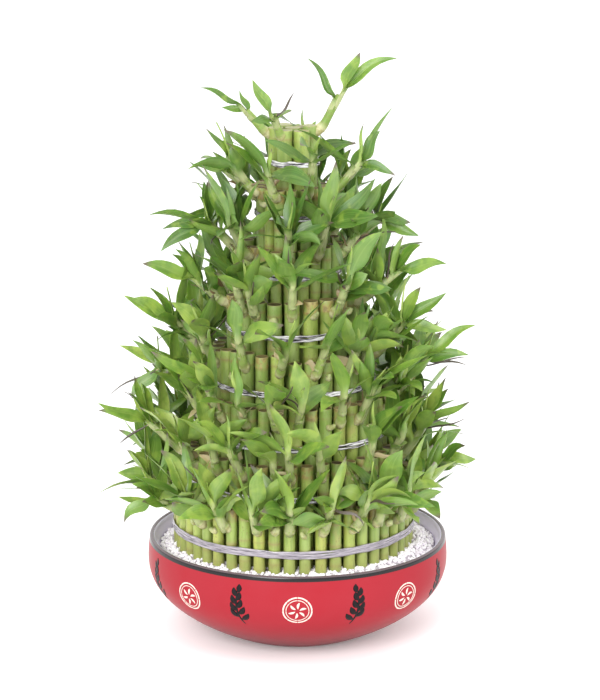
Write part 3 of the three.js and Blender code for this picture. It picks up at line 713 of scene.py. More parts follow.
# Tier and azimuth of the outline shoot, then the leaf's azimuth, rise, droop, length and half width.
OUTLINE_YOUNG = (
    (3, 186, 190, -4, 40, 56, 7),
    (4, -6, -60, 72, 10, 46, 7.5),
    (5, -6, -4, 45, 20, 55, 7),
    (5, -6, -10, 12, 30, 46, 6.5),
    (5, 184, 184, 34, 16, 60, 7),
    (7, 186, 184, 70, 4, 48, 6.5),
    (3, -8, -14, -4, 34, 44, 7),
    (6, 182, 194, -20, 40, 44, 7),
    (7, 186, 214, 60, 20, 46, 6.5),
)
OUTLINE_PLACES = (0.94, 0.84, 0.74, 0.64, 0.54)
THREAD_PLACE = 0.9
THREAD_HALF_WIDTH = 1.4
THREAD_ROLL = 80
SPEAR_ORDER = 20
THREAD_ORDER = 30
HUSK_ORDER = 40
FRONT = 270 * DEGREE
FRONT_HALF = 40 * DEGREE
FRONT_TIERS = (2, 5, 6, 7)
FRONT_YOUNG = 0
NARROW_TIER = 2
NARROW_YOUNG = 2
SIDE_HALF = 40 * DEGREE
SIDE_TIERS = (3, 4, 5, 6)
FULL_TIER = 3
SIDE_YOUNG = 7

# %% [markdown]
# A further leaf draws each of its values from its range. Where the photograph shows the canes and
# bands at the front, a shoot gets few of them, and at the full sides of the plant it gets most.

# %% Grow the further leaves
def plan_extra(shoot, ranges, order, attempt):
    """A further leaf of a shoot, with each value drawn from its range."""
    keys = (STREAM["young"], shoot.tier.number, shoot.cane, order, attempt)
    values = {key: between(limits, *keys, i) for i, (key, limits) in enumerate(ranges.items())}
    side = 1 if order % 2 else -1
    azimuth = shoot.stem.azimuth + side * values.pop("turn") * DEGREE
    return leaf_from(shoot.stem, values.pop("place"), azimuth, order=order, **values)


def young_count(shoot):
    """How many younger leaves a shoot gets: none at the front of some tiers, few in the narrow second
    tier, and most all round the third and at the sides of the tiers below it."""
    number = shoot.tier.number
    front = math.cos(shoot.stem.azimuth - FRONT) > math.cos(FRONT_HALF)
    side = abs(math.cos(shoot.stem.azimuth)) > math.cos(SIDE_HALF)
    if front and number in FRONT_TIERS:
        return FRONT_YOUNG
    if number == FULL_TIER or side and number in SIDE_TIERS:
        return SIDE_YOUNG
    return NARROW_YOUNG if number == NARROW_TIER else YOUNG_COUNT


def outline_shoot(number, azimuth):
    """The outline shoot given for a tier at an azimuth."""
    return next(shoot for shoot in SHOOTS if shoot.outline and shoot.outline[:2] == (number, azimuth))


def grow_outline():
    """Younger leaves listed for the outline shoots, each at the first clear place on its stem."""
    for number, base, azimuth, rise, droop, length, half_width in OUTLINE_YOUNG:
        shoot = outline_shoot(number, base)
        roll = OUTLINE_ROLL * math.cos(azimuth * DEGREE)
        for place in OUTLINE_PLACES:
            leaf = leaf_from(shoot.stem, place, azimuth * DEGREE, rise, droop, length, half_width, roll,
                             FIRST_YOUNG)
            if is_clear(leaf, shoot.owner, PLACED, YOUNG_CLEAR, YOUNG_TOWER_CLEAR):
                shoot.leaves.append(leaf)
                break


def grow_extra():
    """Adds low leaves to the lowest tier, younger leaves to every shoot in turn, then a spear, a few
    threads and the husks of old sheaths."""
    full = [shoot for shoot in SHOOTS if not (shoot.outline and shoot.tier.number == 1)]
    lowest = [shoot for shoot in full if shoot.tier is TIERS[-1]]
    rounds = [(LOW_LEAF, FIRST_LOW + order, lowest) for order in range(LOW_COUNT)]
    for order in range(SIDE_YOUNG):
        rounds.append((YOUNG_LEAF, FIRST_YOUNG + order, [s for s in full if order < young_count(s)]))
    for ranges, order, shoots in rounds:
        for shoot in shoots:
            for attempt in range(YOUNG_TRIES):
                leaf = plan_extra(shoot, ranges, order, attempt)
                if is_clear(leaf, shoot.owner, PLACED, YOUNG_CLEAR, YOUNG_TOWER_CLEAR):
                    shoot.leaves.append(leaf)
                    break
    for shoot in full:
        shoot.leaves.append(plan_extra(shoot, SPEAR, SPEAR_ORDER, 0))
        if draw(STREAM["young"], shoot.tier.number, shoot.cane, THREAD_ORDER) < THREAD_SHARE:
            shoot.leaves.append(plan_extra(shoot, THREAD, THREAD_ORDER, 0))
        for order in range(HUSK_ORDER, HUSK_ORDER + HUSK_COUNT):
            if draw(STREAM["young"], shoot.tier.number, shoot.cane, order) < HUSK_SHARE:
                shoot.leaves.append(plan_extra(shoot, HUSK, order, 0))
    for number, base, azimuth, rise, droop, length in OUTLINE_THREADS:
        shoot = outline_shoot(number, base)
        shoot.leaves.append(leaf_from(shoot.stem, THREAD_PLACE, azimuth * DEGREE, rise, droop, length,
                                      THREAD_HALF_WIDTH, THREAD_ROLL, THREAD_ORDER))


grow_outline()
grow_extra()
print(sum(len(shoot.leaves) for shoot in SHOOTS), "leaves with the younger ones")

# %% [markdown]
# A cane is a round tube. Every few centimetres it has a node: a raised ring, and the stretch between
# two nodes is drawn in a little. Its top was cut flat and has dried, so the cut face sinks towards
# the middle. The rows of the grid sit close together at each node and far apart between them, which
# spends the faces where the form is. Some canes have dried back a little under the cut, so a mark
# on the points says where.

# %% Canes
CANE_COLUMNS = 14
NODE_COUNT = 4
NODE_ROWS = ((-5.0, 0.985, 0.0), (-1.3, 1.012, 0.5), (0.0, 1.05, 1.0), (1.3, 1.0, 0.5), (5.0, 0.985, 0.0))
INTERNODE = (17, 32)
FIRST_NODE = (8, 11)
CUT_ROWS = ((-0.5, 1.0, 0.1), (0.0, 0.965, 0.35), (-0.1, 0.9, 0.55), (-0.6, 0.78, 0.85))
CUT_SINK = 1.3
END_ROWS = (0.15, 0.4, 0.6, 0.75, 0.9, 1.0, 1.0, 1.0, 1.0)
DRY_END_SHARE = 0.22
ROW_GAP = 0.1
CANE_SHARE = (0.91, 0.99)
CANE_OVAL = 0.02
CANE_JITTER = 0.35
TOP_JITTER = 1.6
LEAST_TONE = (0, 0.24)
TONE_SPREAD = 0.6
RING_SHADES = (0.35, 1)


def cane_places(tier):
    """Centres and tops of the canes. The first cane of tier 1 stands in the middle."""
    azimuths = np.array([cane_azimuth(tier, cane) for cane in range(tier.ring)])
    centres = tier.radius * np.stack([np.cos(azimuths), np.sin(azimuths)], -1)
    tops = np.array([top_of(tier, bundle_of(tier, cane)) for cane in range(tier.ring)])
    if tier.number == 1:
        centres = np.concatenate([[[0, 0]], centres])
        tops = np.concatenate([[top_of(tier, 0)], tops])
    return centres, tops


def make_canes(tier):
    """One mesh of all canes of a tier. A point is centre + radius * profile(row) * (cos a, sin a).
    NODE_ROWS and CUT_ROWS hold a row's height from the node or the top, its share of the radius and
    how much of a ring or of a cut face it shows, and END_ROWS how far each of the last rows dries."""
    rng = random_for("canes", tier.number)
    centres, tops = cane_places(tier)
    count = len(centres)
    radius = tier.diameter / 2 * rng.uniform(*CANE_SHARE, count)
    centres = centres + rng.uniform(-CANE_JITTER, CANE_JITTER, (count, 2))
    tops = tops + rng.uniform(-TOP_JITTER, TOP_JITTER, count)
    first = rng.uniform(*FIRST_NODE, (count, 1))
    gaps = rng.uniform(*INTERNODE, (count, NODE_COUNT - 1))
    nodes = tops[:, None] - np.concatenate([first, first + np.cumsum(gaps, 1)], 1)[:, ::-1]
    offset, swell, ring = np.array(NODE_ROWS).T
    sink, share, cut = np.array(CUT_ROWS).T
    node_rows = (nodes[:, :, None] + offset).reshape(count, -1)
    heights = np.concatenate([np.full((count, 1), CANE_FOOT), node_rows, tops[:, None] + sink], 1)
    heights = np.maximum(heights, CANE_FOOT + ROW_GAP * np.arange(heights.shape[1]))
    profile = np.concatenate([[1.0], np.tile(swell, NODE_COUNT), share])
    ring_row = np.concatenate([[0.0], np.tile(ring, NODE_COUNT), np.zeros(len(cut))])
    cut_row = np.concatenate([np.zeros(len(profile) - len(cut)), cut])
    end_row = np.concatenate([np.zeros(len(profile) - len(END_ROWS)), END_ROWS])
    angle = even_angles(CANE_COLUMNS)
    oval = 1 + CANE_OVAL * np.cos(2 * (angle - rng.uniform(0, np.pi, (count, 1))))
    reach = radius[:, None, None] * profile[None, :, None] * oval[:, None]
    x = centres[:, 0, None, None] + reach * np.cos(angle) + TOWER_X
    y = centres[:, 1, None, None] + reach * np.sin(angle)
    points = np.stack([x, y, np.broadcast_to(heights[:, :, None], x.shape)], -1)
    head = np.stack([centres[:, 0] + TOWER_X, centres[:, 1], tops - CUT_SINK], -1)
    marks = {
        "tone": LEAST_TONE[tier is TIERS[-1]] + TONE_SPREAD * rng.uniform(0, 1, (count, 1, 1)),
        "ring": ring_row[None, :, None] * rng.uniform(*RING_SHADES, (count, 1, 1)),
        "cut": cut_row[None, :, None],
        "end": end_row[None, :, None] * (rng.uniform(0, 1, (count, 1, 1)) < DRY_END_SHARE),
    }
    ends = np.stack([points[:, 0].mean(1), head], 1)
    return closed_bodies(f"canes_tier_{tier.number}", points, marks, ends)


CANES = {tier.number: make_canes(tier) for tier in TIERS}

# %% [markdown]
# A stem is wrapped in the sheaths of its leaves, one above the other. Each sheath ends in a small
# step, so the stem is a tube whose radius drops at every step. At its foot, where it breaks out
# of the cane, it is swollen and pale.

# %% Stems
STEM_COLUMNS = 10
SHEATH_COUNT = 8
FIRST_SHEATH = 0.16
SHEATH_STEP = 0.104
STEP_JITTER = 0.02
STEP_ROWS = ((-0.05, 1.0, 0.0), (-0.006, 1.012, 1.0), (0.006, 0.99, 0.5))
STEM_RADIUS = 3.9
STEM_SWELL = 1.0
SWELL_PLACE = 0.26
SWELL_WIDTH = 0.1
STEM_TAPER = 0.9
TAPER_FROM = 0.45
STEM_LUMPS = 0.07
LUMPS_FADE = (0.25, 0.5)
ELBOW_EASE = 0.12


def stem_radius(t):
    """Radius of a stem: a swelling near its foot and an even taper to its neck."""
    swell = STEM_SWELL * np.exp(-(((t - SWELL_PLACE) / SWELL_WIDTH) ** 2))
    return STEM_RADIUS + swell - STEM_TAPER * smooth((t - TAPER_FROM) / (1 - TAPER_FROM))


def stem_path(curve, t):
    """The stem's curve up to its elbow, and past it the straight line on which its leaves sit."""
    ends = on_curve(curve, np.array([STEM_ELBOW, STEM_NECK]))
    share = (t - STEM_ELBOW) / (STEM_NECK - STEM_ELBOW)
    straight = ends[..., :1, :] + (ends[..., 1:, :] - ends[..., :1, :]) * share[..., None]
    turn = smooth((t - STEM_ELBOW + ELBOW_EASE) / (2 * ELBOW_EASE))[..., None]
    return on_curve(curve, t) * (1 - turn) + straight * turn


def round_about(first, second, angle):
    """Directions first cos(angle) + second sin(angle) round a line, for every body and row."""
    return first[:, :, None] * np.cos(angle)[:, None] + second[:, :, None] * np.sin(angle)[:, None]


def make_stems(tier):
    """One mesh of all stems of a tier, each a tube along its path. STEP_ROWS hold a row's place from
    a sheath's edge, its share of the radius, and how much of the edge it shows."""
    rng = random_for("stems", tier.number)
    shoots = [shoot for shoot in SHOOTS if shoot.tier is tier]
    curves = np.array([shoot.stem.curve for shoot in shoots])[:, None]
    azimuth = np.array([shoot.stem.azimuth for shoot in shoots])[:, None]
    count = len(shoots)
    edges = FIRST_SHEATH + SHEATH_STEP * np.arange(SHEATH_COUNT)
    edges = edges + rng.uniform(-STEP_JITTER, STEP_JITTER, (count, SHEATH_COUNT))
    offset, flare, line = np.array(STEP_ROWS).T
    rows = (edges[:, :, None] + offset).reshape(count, -1)
    middle = stem_path(curves, rows)
    along = unit(np.gradient(middle, axis=1))
    across = np.broadcast_to(np.stack([-np.sin(azimuth), np.cos(azimuth), 0 * azimuth], -1), along.shape)
    lumps = rng.uniform(-1, 1, (*rows.shape, STEM_COLUMNS))
    full, gone = LUMPS_FADE
    lumps = lumps * (1 - smooth((rows - full) / (gone - full)))[..., None]
    reach = (stem_radius(rows) * np.tile(flare, SHEATH_COUNT))[..., None] * (1 + STEM_LUMPS * lumps)
    around = round_about(across, np.cross(along, across), even_angles(STEM_COLUMNS))
    points = middle[:, :, None] + reach[..., None] * around
    points[..., 0] += TOWER_X
    marks = {
        "tone": rng.uniform(0, 1, (count, 1, 1)),
        "along": rows[..., None],
        "ring": np.tile(line, SHEATH_COUNT)[None, :, None],
    }
    return closed_bodies(f"stems_tier_{tier.number}", points, marks)


STEMS = {tier.number: make_stems(tier) for tier in TIERS}

# %% [markdown]
# Many canes carry no leafy shoot but a bud, or the stub of one that dried: a short knob that leaves
# the cane sideways at the same node and turns up. It is a lumpy tube that narrows to its tip.

# %% Buds
BUD_SHARE = 0.55
BUD_LENGTH = (9, 19)
BUD_RADIUS = (2.3, 4)
BUD_ROWS = np.array([0.0, 0.2, 0.4, 0.6, 0.78, 0.92])
BUD_PROFILE = np.array([1.0, 1.12, 1.1, 0.95, 0.7, 0.42])
BUD_LUMPS = (0.78, 1.2)
BUD_COLUMNS = 8
BUD_ROOT = 0.3
BUD_SHIFT = 5
BUD_TURN = 50 * DEGREE
BUD_FIRST_RISE = (-0.5, 0.3)
BUD_LAST_RISE = (1, 1.6)
BUD_FOOT = 0.2
BUD_GREENING = 0.14
BUD_DRY_FROM = 0.5
BUD_DRY_OVER = 0.4


def plan_bud(tier, cane, rng):
    """The curve and azimuth of a bud, from inside its cane outwards and then up."""
    base = cane_azimuth(tier, cane)
    start = direction(base, 0) * (tier.radius + BUD_ROOT * tier.diameter)
    start[2] = top_of(tier, bundle_of(tier, cane)) - tier.node + rng.uniform(-BUD_SHIFT, BUD_SHIFT)
    azimuth = base + rng.uniform(-1, 1) * BUD_TURN
    length = rng.uniform(*BUD_LENGTH)
    return arc(start, azimuth, length, rng.uniform(*BUD_FIRST_RISE), rng.uniform(*BUD_LAST_RISE)), azimuth


def make_buds(tier):
    """One mesh of the buds of a tier, on about half of the canes that have no shoot. A bud wears the
    look of a stem's foot at its root, and dries towards its tip."""
    rng = random_for("buds", tier.number)
    taken = {shoot.cane for shoot in SHOOTS if shoot.tier is tier}
    canes = [cane for cane in range(tier.ring) if cane not in taken and rng.uniform() < BUD_SHARE]
    curves, azimuth = zip(*(plan_bud(tier, cane, rng) for cane in canes))
    count = len(canes)
    t = np.broadcast_to(BUD_ROWS, (count, len(BUD_ROWS)))
    curves = np.array(curves)[:, None]
    _, across, above = curve_frame(curves, t, np.array(azimuth)[:, None], 0 * t)
    reach = rng.uniform(*BUD_RADIUS, (count, 1, 1)) * BUD_PROFILE[:, None]
    reach = reach * rng.uniform(*BUD_LUMPS, (*t.shape, BUD_COLUMNS))
    around = round_about(across, above, even_angles(BUD_COLUMNS))
    points = on_curve(curves, t)[:, :, None] + reach[..., None] * around
    points[..., 0] += TOWER_X
    marks = {
        "tone": rng.uniform(0, 1, (count, 1, 1)),
        "along": BUD_FOOT + BUD_GREENING * t[..., None],
        "ring": smooth((t[..., None] - BUD_DRY_FROM) / BUD_DRY_OVER) * rng.uniform(0, 1, (count, 1, 1)),
    }
    return closed_bodies(f"buds_tier_{tier.number}", points, marks)


BUDS = {tier.number: make_buds(tier) for tier in TIERS}

# %% [markdown]
# A leaf starts as a sheath that hugs its stem and opens into a lance-shaped blade. Both are arcs
# and lines across one centre line, so the grid runs from one to the other: near the root a point
# lies on a circle round the stem, and further out on a shallow V under the blade's two edges.
# The blade swells to its full width a little before the middle of its length and runs out to a point.

# %% Leaves
LEAF_ROWS = np.array([-0.2, -0.1, 0.0, 0.08, 0.16, 0.25, 0.34, 0.44, 0.55, 0.66, 0.77, 0.88, 0.96])
LEAF_SIDES = np.array([1, 0.5, 0, -0.5, -1, -0.5, 0, 0.5])
LEAF_FACES = np.array([0, 1, 1, 1, 0, -1, -1, -1])
WIDEST = 0.45
ROOT_WIDTH = 0.5
TIP_POWER = 1.75
BLADE_SHARE = 1.1
OUTLINE_BLADE_SHARE = 0.88
LEAF_THICKNESS = 0.6
ROLLED_THICKNESS = 1.3
EDGE_THINNING = 0.4
LEAF_TWIST = 45
TWIST_FROM = 0.34
ROLLED_BY = 0.3
LEAF_SWAY = 5.5
LEAF_WINDING = 2.4
WINDING_BY = 0.5
LEAF_FOLD = 1.9
FOLD_POWER = 1.2
FOLD_FULL_WIDTH = 4
FOLD_REACH = 1.5
FOLD_SPREAD = (0.2, 1.4)
ROLLED_FOLD = 0.8
WAVE_COUNT = (1, 1.8)
WAVE_HEIGHT = 0.14
SHEATH_WRAP = 96 * DEGREE
SHEATH_PROUD = 0.4
SHEATH_FOOT = -0.25
SHEATH_SLOPE = 0.15
SHEATH_OPENS = 0.26
SHEATH_GREEN = 0.2


def leaf_width(t):
    """Share of the half width: an S curve from the root to the widest place, then 1 - u^1.75."""
    root = ROOT_WIDTH + (1 - ROOT_WIDTH) * smooth(t / WIDEST)
    return np.where(t < WIDEST, root, 1 - np.clip((t - WIDEST) / (1 - WIDEST), 0, 1) ** TIP_POWER)


def sheath_points(leaves, azimuth, t):
    """Points and inward normals on a circle round the stem: r (e1 cos f + e2 sin f), f = side * wrap.
    e1 points away from the blade's upper side and e2 to its left edge."""
    elbow, neck = np.moveaxis(on_curve(leaves.stems, np.array([STEM_ELBOW, STEM_NECK])), -2, 0)
    stem_line = unit(neck - elbow)[:, None]
    level = np.stack([-np.sin(azimuth), np.cos(azimuth), 0 * azimuth], -1)
    left = unit(level - (level * stem_line).sum(-1, keepdims=True) * stem_line)
    middle = leaves.curves[:, :1, 0] + stem_line * (t * leaves.length[:, None])[..., None]
    radial = round_about(-np.cross(stem_line, left), left, LEAF_SIDES * SHEATH_WRAP)
    radius = stem_radius(leaves.place)[:, None] + SHEATH_PROUD * smooth((t - SHEATH_FOOT) / SHEATH_SLOPE)
    points = middle[:, :, None] + radius[..., None, None] * radial
    return points, -np.broadcast_to(radial, points.shape)


def leaf_grid(leaves, rng):
    """Points of leaves as (leaf, row, column, xyz), and their tips. Sheath and blade are mixed by a
    weight that grows from 0 at the root to 1 where the sheath has opened. The blade is folded along
    its middle, sways to its sides, twists towards its tip, and has wavy edges."""
    count = len(leaves.length)
    t = np.broadcast_to(LEAF_ROWS, (count, len(LEAF_ROWS)))
    held = np.clip(t, 0, 1)
    azimuth = leaves.azimuth[:, None]
    twist = rng.uniform(-LEAF_TWIST, LEAF_TWIST, (count, 1)) * DEGREE
    roll = leaves.roll[:, None] * smooth(t / ROLLED_BY) + twist * np.clip(t - TWIST_FROM, 0, 1)
    _, across, above = curve_frame(leaves.curves, held, azimuth, roll)
    sway = rng.uniform(-LEAF_SWAY, LEAF_SWAY, (count, 1)) * held**2
    winding = rng.uniform(-LEAF_WINDING, LEAF_WINDING, (count, 1)) * np.sin(2 * np.pi * held)
    sway = sway + winding * smooth(held / WINDING_BY)
    middle = on_curve(leaves.curves, held) + across * sway[..., None]
    half = (leaves.half_width[:, None] * leaf_width(t))[..., None]
    side = LEAF_SIDES[None, None]
    wave = np.sin(2 * np.pi * (rng.uniform(*WAVE_COUNT, (count, 1)) * held + rng.uniform(0, 1, (count, 1))))
    lift = -LEAF_FOLD * leaves.fold[:, None, None] * (1 - np.abs(side) ** FOLD_POWER)
    lift = lift * np.minimum(1, half / FOLD_FULL_WIDTH) * (FOLD_REACH - held)[..., None]
    lift = lift + WAVE_HEIGHT * half * (wave * held)[..., None] * side * np.abs(side)
    blade = middle[:, :, None] + across[:, :, None] * (half * side)[..., None]
    blade = blade + above[:, :, None] * lift[..., None]
    sheath, inward = sheath_points(leaves, azimuth, t)
    weight = smooth(t / SHEATH_OPENS)[..., None, None]
    points = sheath * (1 - weight) + blade * weight
    normal = unit(inward * (1 - weight) + above[:, :, None] * weight)
    depth = leaves.thickness[:, None, None] / 2 * (1 - EDGE_THINNING * np.abs(LEAF_SIDES)) * LEAF_FACES
    tips = on_curve(leaves.curves, 1.0)[:, 0] + across[:, -1] * sway[:, -1:]
    return points + normal * depth[..., None], tips


# %% [markdown]
# The grids of all leaves of a tier become one mesh. Its normals are smooth over the faces, and the
# two long edges of a leaf are marked sharp, so that light breaks there as on a real blade.

# %% Join the leaves
def sharpen(mesh, size, columns):
    """Marks the two long edges of each leaf of so many vertices sharp, so that they aren't shaded
    round."""
    ends = np.empty(2 * len(mesh.edges), np.int32)
    mesh.edges.foreach_get("vertices", ends)
    place = ends.reshape(-1, 2) % size
    sharp = np.zeros(len(place), bool)
    for side in (0, columns // 2):
        sharp |= ((place % columns == side) | (place == size - 1)).all(1)
    mesh.attributes.new("sharp_edge", "BOOLEAN", "EDGE").data.foreach_set("value", sharp)


def leaf_bodies(name, points, tips, marks):
    """A mesh of leaves. The root end is closed by a strip between its two faces, because it is a
    thin arc round the stem, and the tip end by a fan to the leaf's point."""
    rows, columns = points.shape[1:3]
    step = np.arange(columns // 2)
    upper, lower = step, (columns - step) % columns
    strip = np.concatenate([
        np.stack([upper + 1, upper, lower], -1)[1:],
        np.stack([upper + 1, lower, columns - step - 1], -1)[:-1],
    ])
    size = rows * columns
    last = size - columns
    triangles = np.concatenate([strip, fan(last, columns, size)])
    leaves = join_bodies(name, points, tips[:, None], [last + columns // 4], triangles, marks)
    sharpen(leaves.data, size + 1, columns)
    return leaves


# %% [markdown]
# No two leaves are alike, so each draws its own fold, sway, twist and tone. The crown's leaves are a
# deep green in the photograph and the lower ones lighter, so the tone is shifted tier by tier. What
# the material has to know about a point is kept on the mesh: the leaf's tone, how dry it is, how far
# along and across the blade the point lies, and whether it is on the under side.

# %% Leaves of each tier
TONE_SHARE = 0.8
TONE_SHIFT = (-0.2, -0.4, -0.36, -0.18, 0.02, 0.1, 0.18, 0.1)
SPEAR_TONE = 0.75
DRY_TIP_SHARE = 0.35
DRY_TIP = 0.5
DRY_HUSK = 0.75
DRY_THREAD = 1.0


def make_leaves(tier):
    """One mesh of all leaves of a tier, with marks for their tone, dryness, and place on the blade."""
    rng = random_for("leaves", tier.number)
    pairs = [(shoot, leaf) for shoot in SHOOTS if shoot.tier is tier for leaf in shoot.leaves]
    count = len(pairs)
    orders = np.array([leaf.order for _, leaf in pairs])
    shares = np.array([OUTLINE_BLADE_SHARE if shoot.outline else BLADE_SHARE for shoot, _ in pairs])
    leaves = SimpleNamespace(
        curves=np.array([leaf.curve for _, leaf in pairs])[:, None],
        stems=np.array([shoot.stem.curve for shoot, _ in pairs])[:, None],
        azimuth=np.array([leaf.azimuth for _, leaf in pairs]),
        roll=np.array([leaf.roll for _, leaf in pairs]),
        half_width=np.array([leaf.half_width for _, leaf in pairs]) * shares,
        length=np.array([leaf.length for _, leaf in pairs]),
        place=np.array([leaf.place for _, leaf in pairs]),
        fold=np.where(orders >= SPEAR_ORDER, ROLLED_FOLD, 1.0) * rng.uniform(*FOLD_SPREAD, count),
        thickness=np.where(np.isin(orders, (SPEAR_ORDER, THREAD_ORDER)), ROLLED_THICKNESS, LEAF_THICKNESS),
    )
    points, tips = leaf_grid(leaves, rng)
    points[..., 0] += TOWER_X
    tips[..., 0] += TOWER_X
    tone = np.clip(TONE_SHARE * rng.uniform(0, 1, count) + TONE_SHIFT[tier.number - 1], 0, 1)
    tone = np.where(orders == SPEAR_ORDER, SPEAR_TONE + (1 - SPEAR_TONE) * tone, tone)
    dry = (rng.uniform(0, 1, count) < DRY_TIP_SHARE) * DRY_TIP
    dry = np.where(orders == THREAD_ORDER, DRY_THREAD, np.where(orders >= HUSK_ORDER, DRY_HUSK, dry))
    marks = {
        "tone": tone[:, None, None],
        "dry": (dry[:, None] * smooth(LEAF_ROWS / SHEATH_GREEN))[..., None],
        "along": LEAF_ROWS[None, :, None],
        "across": LEAF_SIDES[None, None],
        "under": (LEAF_FACES < 0)[None, None] * 1.0,
    }
    return leaf_bodies(f"leaves_tier_{tier.number}", points, tips, marks)


LEAVES = {tier.number: make_leaves(tier) for tier in TIERS}

# %% [markdown]
# Each band is a strip of clear tape wound round the tier a few times and crumpled into strands. The
# lowest one is broader than the others. A strand is a flattened tube that follows the canes' outer
# faces: straight from cane to cane, and bent round each of them. Small sines of many lengths crumple
# it, which gives the glints.

# %% Bands
BAND_COLUMNS = 8
BAND_STEP = 2.6
STRANDS_HIGH = ((-1.5, 0.1, 1.7), 1.0)
STRANDS_LOWEST = ((-2.3, 0.0, 2.3), 1.6)
STRAND_HALF_DEPTH = 0.5
OUT_WAVES = ((5, 11, 23, 37), 0.25)
LEVEL_WAVES = ((2, 3, 5, 9), 0.5)
TALL_WAVES = ((7, 13, 29), 0.22)


def hull_radius(tier, azimuth):
    """Radius of a string pulled round the canes: an arc about the nearest cane as far as the string
    touches it, and the straight line to the next cane past there."""
    first = cane_azimuth(tier, 0)
    bend = np.pi / tier.ring
    away = np.mod(azimuth - first + bend, 2 * bend) - bend
    half = tier.diameter / 2
    line = (tier.radius * np.cos(bend) + half) / np.cos(bend - np.abs(away))
    under = np.maximum(half**2 - (tier.radius * np.sin(away)) ** 2, 0)
    curve = tier.radius * np.cos(away) + np.sqrt(under)
    touch = math.atan2(half * math.sin(bend), tier.radius + half * math.cos(bend))
    return np.where(np.abs(away) < touch, curve, line)


def crumple(rng, azimuth, counts, height):
    """A sum of sines with whole numbers of waves round the tier and random phases, height tall."""
    total = np.zeros_like(azimuth)
    for count in counts:
        total += np.sin(azimuth * count + rng.uniform(0, 2 * np.pi)) / math.sqrt(len(counts))
    return height * total


def make_band(tier):
    """One mesh of the strands of a band, each closed round the tier and round its own section."""
    rng = random_for("tape", tier.number)
    rows = int(2 * np.pi * tier.reach / BAND_STEP)
    azimuth = even_angles(rows)
    section = even_angles(BAND_COLUMNS)
    heights, half_height = STRANDS_LOWEST if tier is TIERS[-1] else STRANDS_HIGH
    strands = []
    for height in heights:
        out = hull_radius(tier, azimuth) + STRAND_HALF_DEPTH + crumple(rng, azimuth, *OUT_WAVES)
        level = tier.band + height + crumple(rng, azimuth, *LEVEL_WAVES)
        tall = half_height * (1 + crumple(rng, azimuth, *TALL_WAVES))
        radius = out[:, None] + STRAND_HALF_DEPTH * np.sin(section)
        x = radius * np.cos(azimuth)[:, None] + TOWER_X
        y = radius * np.sin(azimuth)[:, None]
        strands.append(np.stack([x, y, level[:, None] + tall[:, None] * np.cos(section)], -1))
    size = rows * BAND_COLUMNS
    quads = np.concatenate([ring_quads(rows, BAND_COLUMNS, True) + i * size for i in range(len(strands))])
    points = np.concatenate(strands).reshape(-1, 3)
    return make_mesh(f"tape_tier_{tier.number}", points, quads, NO_TRIANGLES, {})


TAPES = {tier.number: make_band(tier) for tier in TIERS}

# %% [markdown]
# The bowl was thrown or pressed as one turned form: a flat foot, a flank that sweeps out to the
# belly, a rim drawn slightly in and a rounded lip. Its profile is a formula, carried round the
# axis. Inside, the wall seems to lean in towards the gravel in the photograph, so it is drawn
# thicker there. The glazes meet in sharp lines at the lip, so each face of the grid takes the glaze
# of its place on the profile.

# %% Bowl
FOOT_RADIUS = 66
BELLY_RADIUS = 141.5
BELLY_HEIGHT = 72
RIM_RADIUS = 140
FLANK_POWER = 2.3
WALL = 5
WALL_LEAN = 6
LEAN_FROM = 62
LEAN_OVER = 12
LEAN_UNDER_LIP = 11
DARK_LIP_INSIDE = 92.3


def bowl_radius(z):
    """Outer radius: belly - (belly - foot) (1 - z / 72)^2.3 up to the belly, and a shallow curve
    drawn in to the rim above it."""
    z = np.asarray(z, float)
    flank = BELLY_RADIUS - (BELLY_RADIUS - FOOT_RADIUS) * np.clip(1 - z / BELLY_HEIGHT, 0, 1) ** FLANK_POWER
    above = np.clip((z - BELLY_HEIGHT) / (BOWL_HEIGHT - BELLY_HEIGHT), 0, 1)
    return flank - (BELLY_RADIUS - RIM_RADIUS) * above**2


def inside_bowl(z, distance):
    """Radius and height of the point a distance inside the outer face, square to it at height z."""
    slope = (bowl_radius(z + 0.01) - bowl_radius(z - 0.01)) / 0.02
    length = np.hypot(1, slope)
    return bowl_radius(z) - distance / length, z + distance * slope / length


def wall_depth(z):
    """Thickness of the wall: even, but thicker round the gravel's surface, where the inside leans in."""
    below_lip = smooth((DARK_LIP_INSIDE - z) / LEAN_UNDER_LIP)
    return WALL + WALL_LEAN * below_lip * smooth((z - LEAN_FROM) / LEAN_OVER)


# %% [markdown]
# The rows of the profile lie close together where the form turns quickly: at the foot's edge, round
# the lip and at the gravel. The lip is an arc from the flank over to the inside.

# %% Profile of the bowl
FOOT_INNER_RADII = (20, 45)
FOOT_EDGE = ((-1.2, 0), (-0.3, 0.25))
FLANK_START = (0.9, 2.5)
FLANK_SPAN = (5, 6)
FLANK_ROWS = 26
LIP_HALF = 2.2
LIP_HEIGHT = BOWL_HEIGHT - LIP_HALF
LIP_TURN = (0.15, 0.9)
LIP_ROWS = 8
DARK_LIP_OUTSIDE = 88.4
INSIDE_HEIGHTS = (DARK_LIP_INSIDE, 90, 88, 86, 84, 82, 80, 76, 70, 66, 62, 56, 40, 25, 14, 9)
FLOOR_RADII = (60, 30)
BOWL_COLUMNS = 192


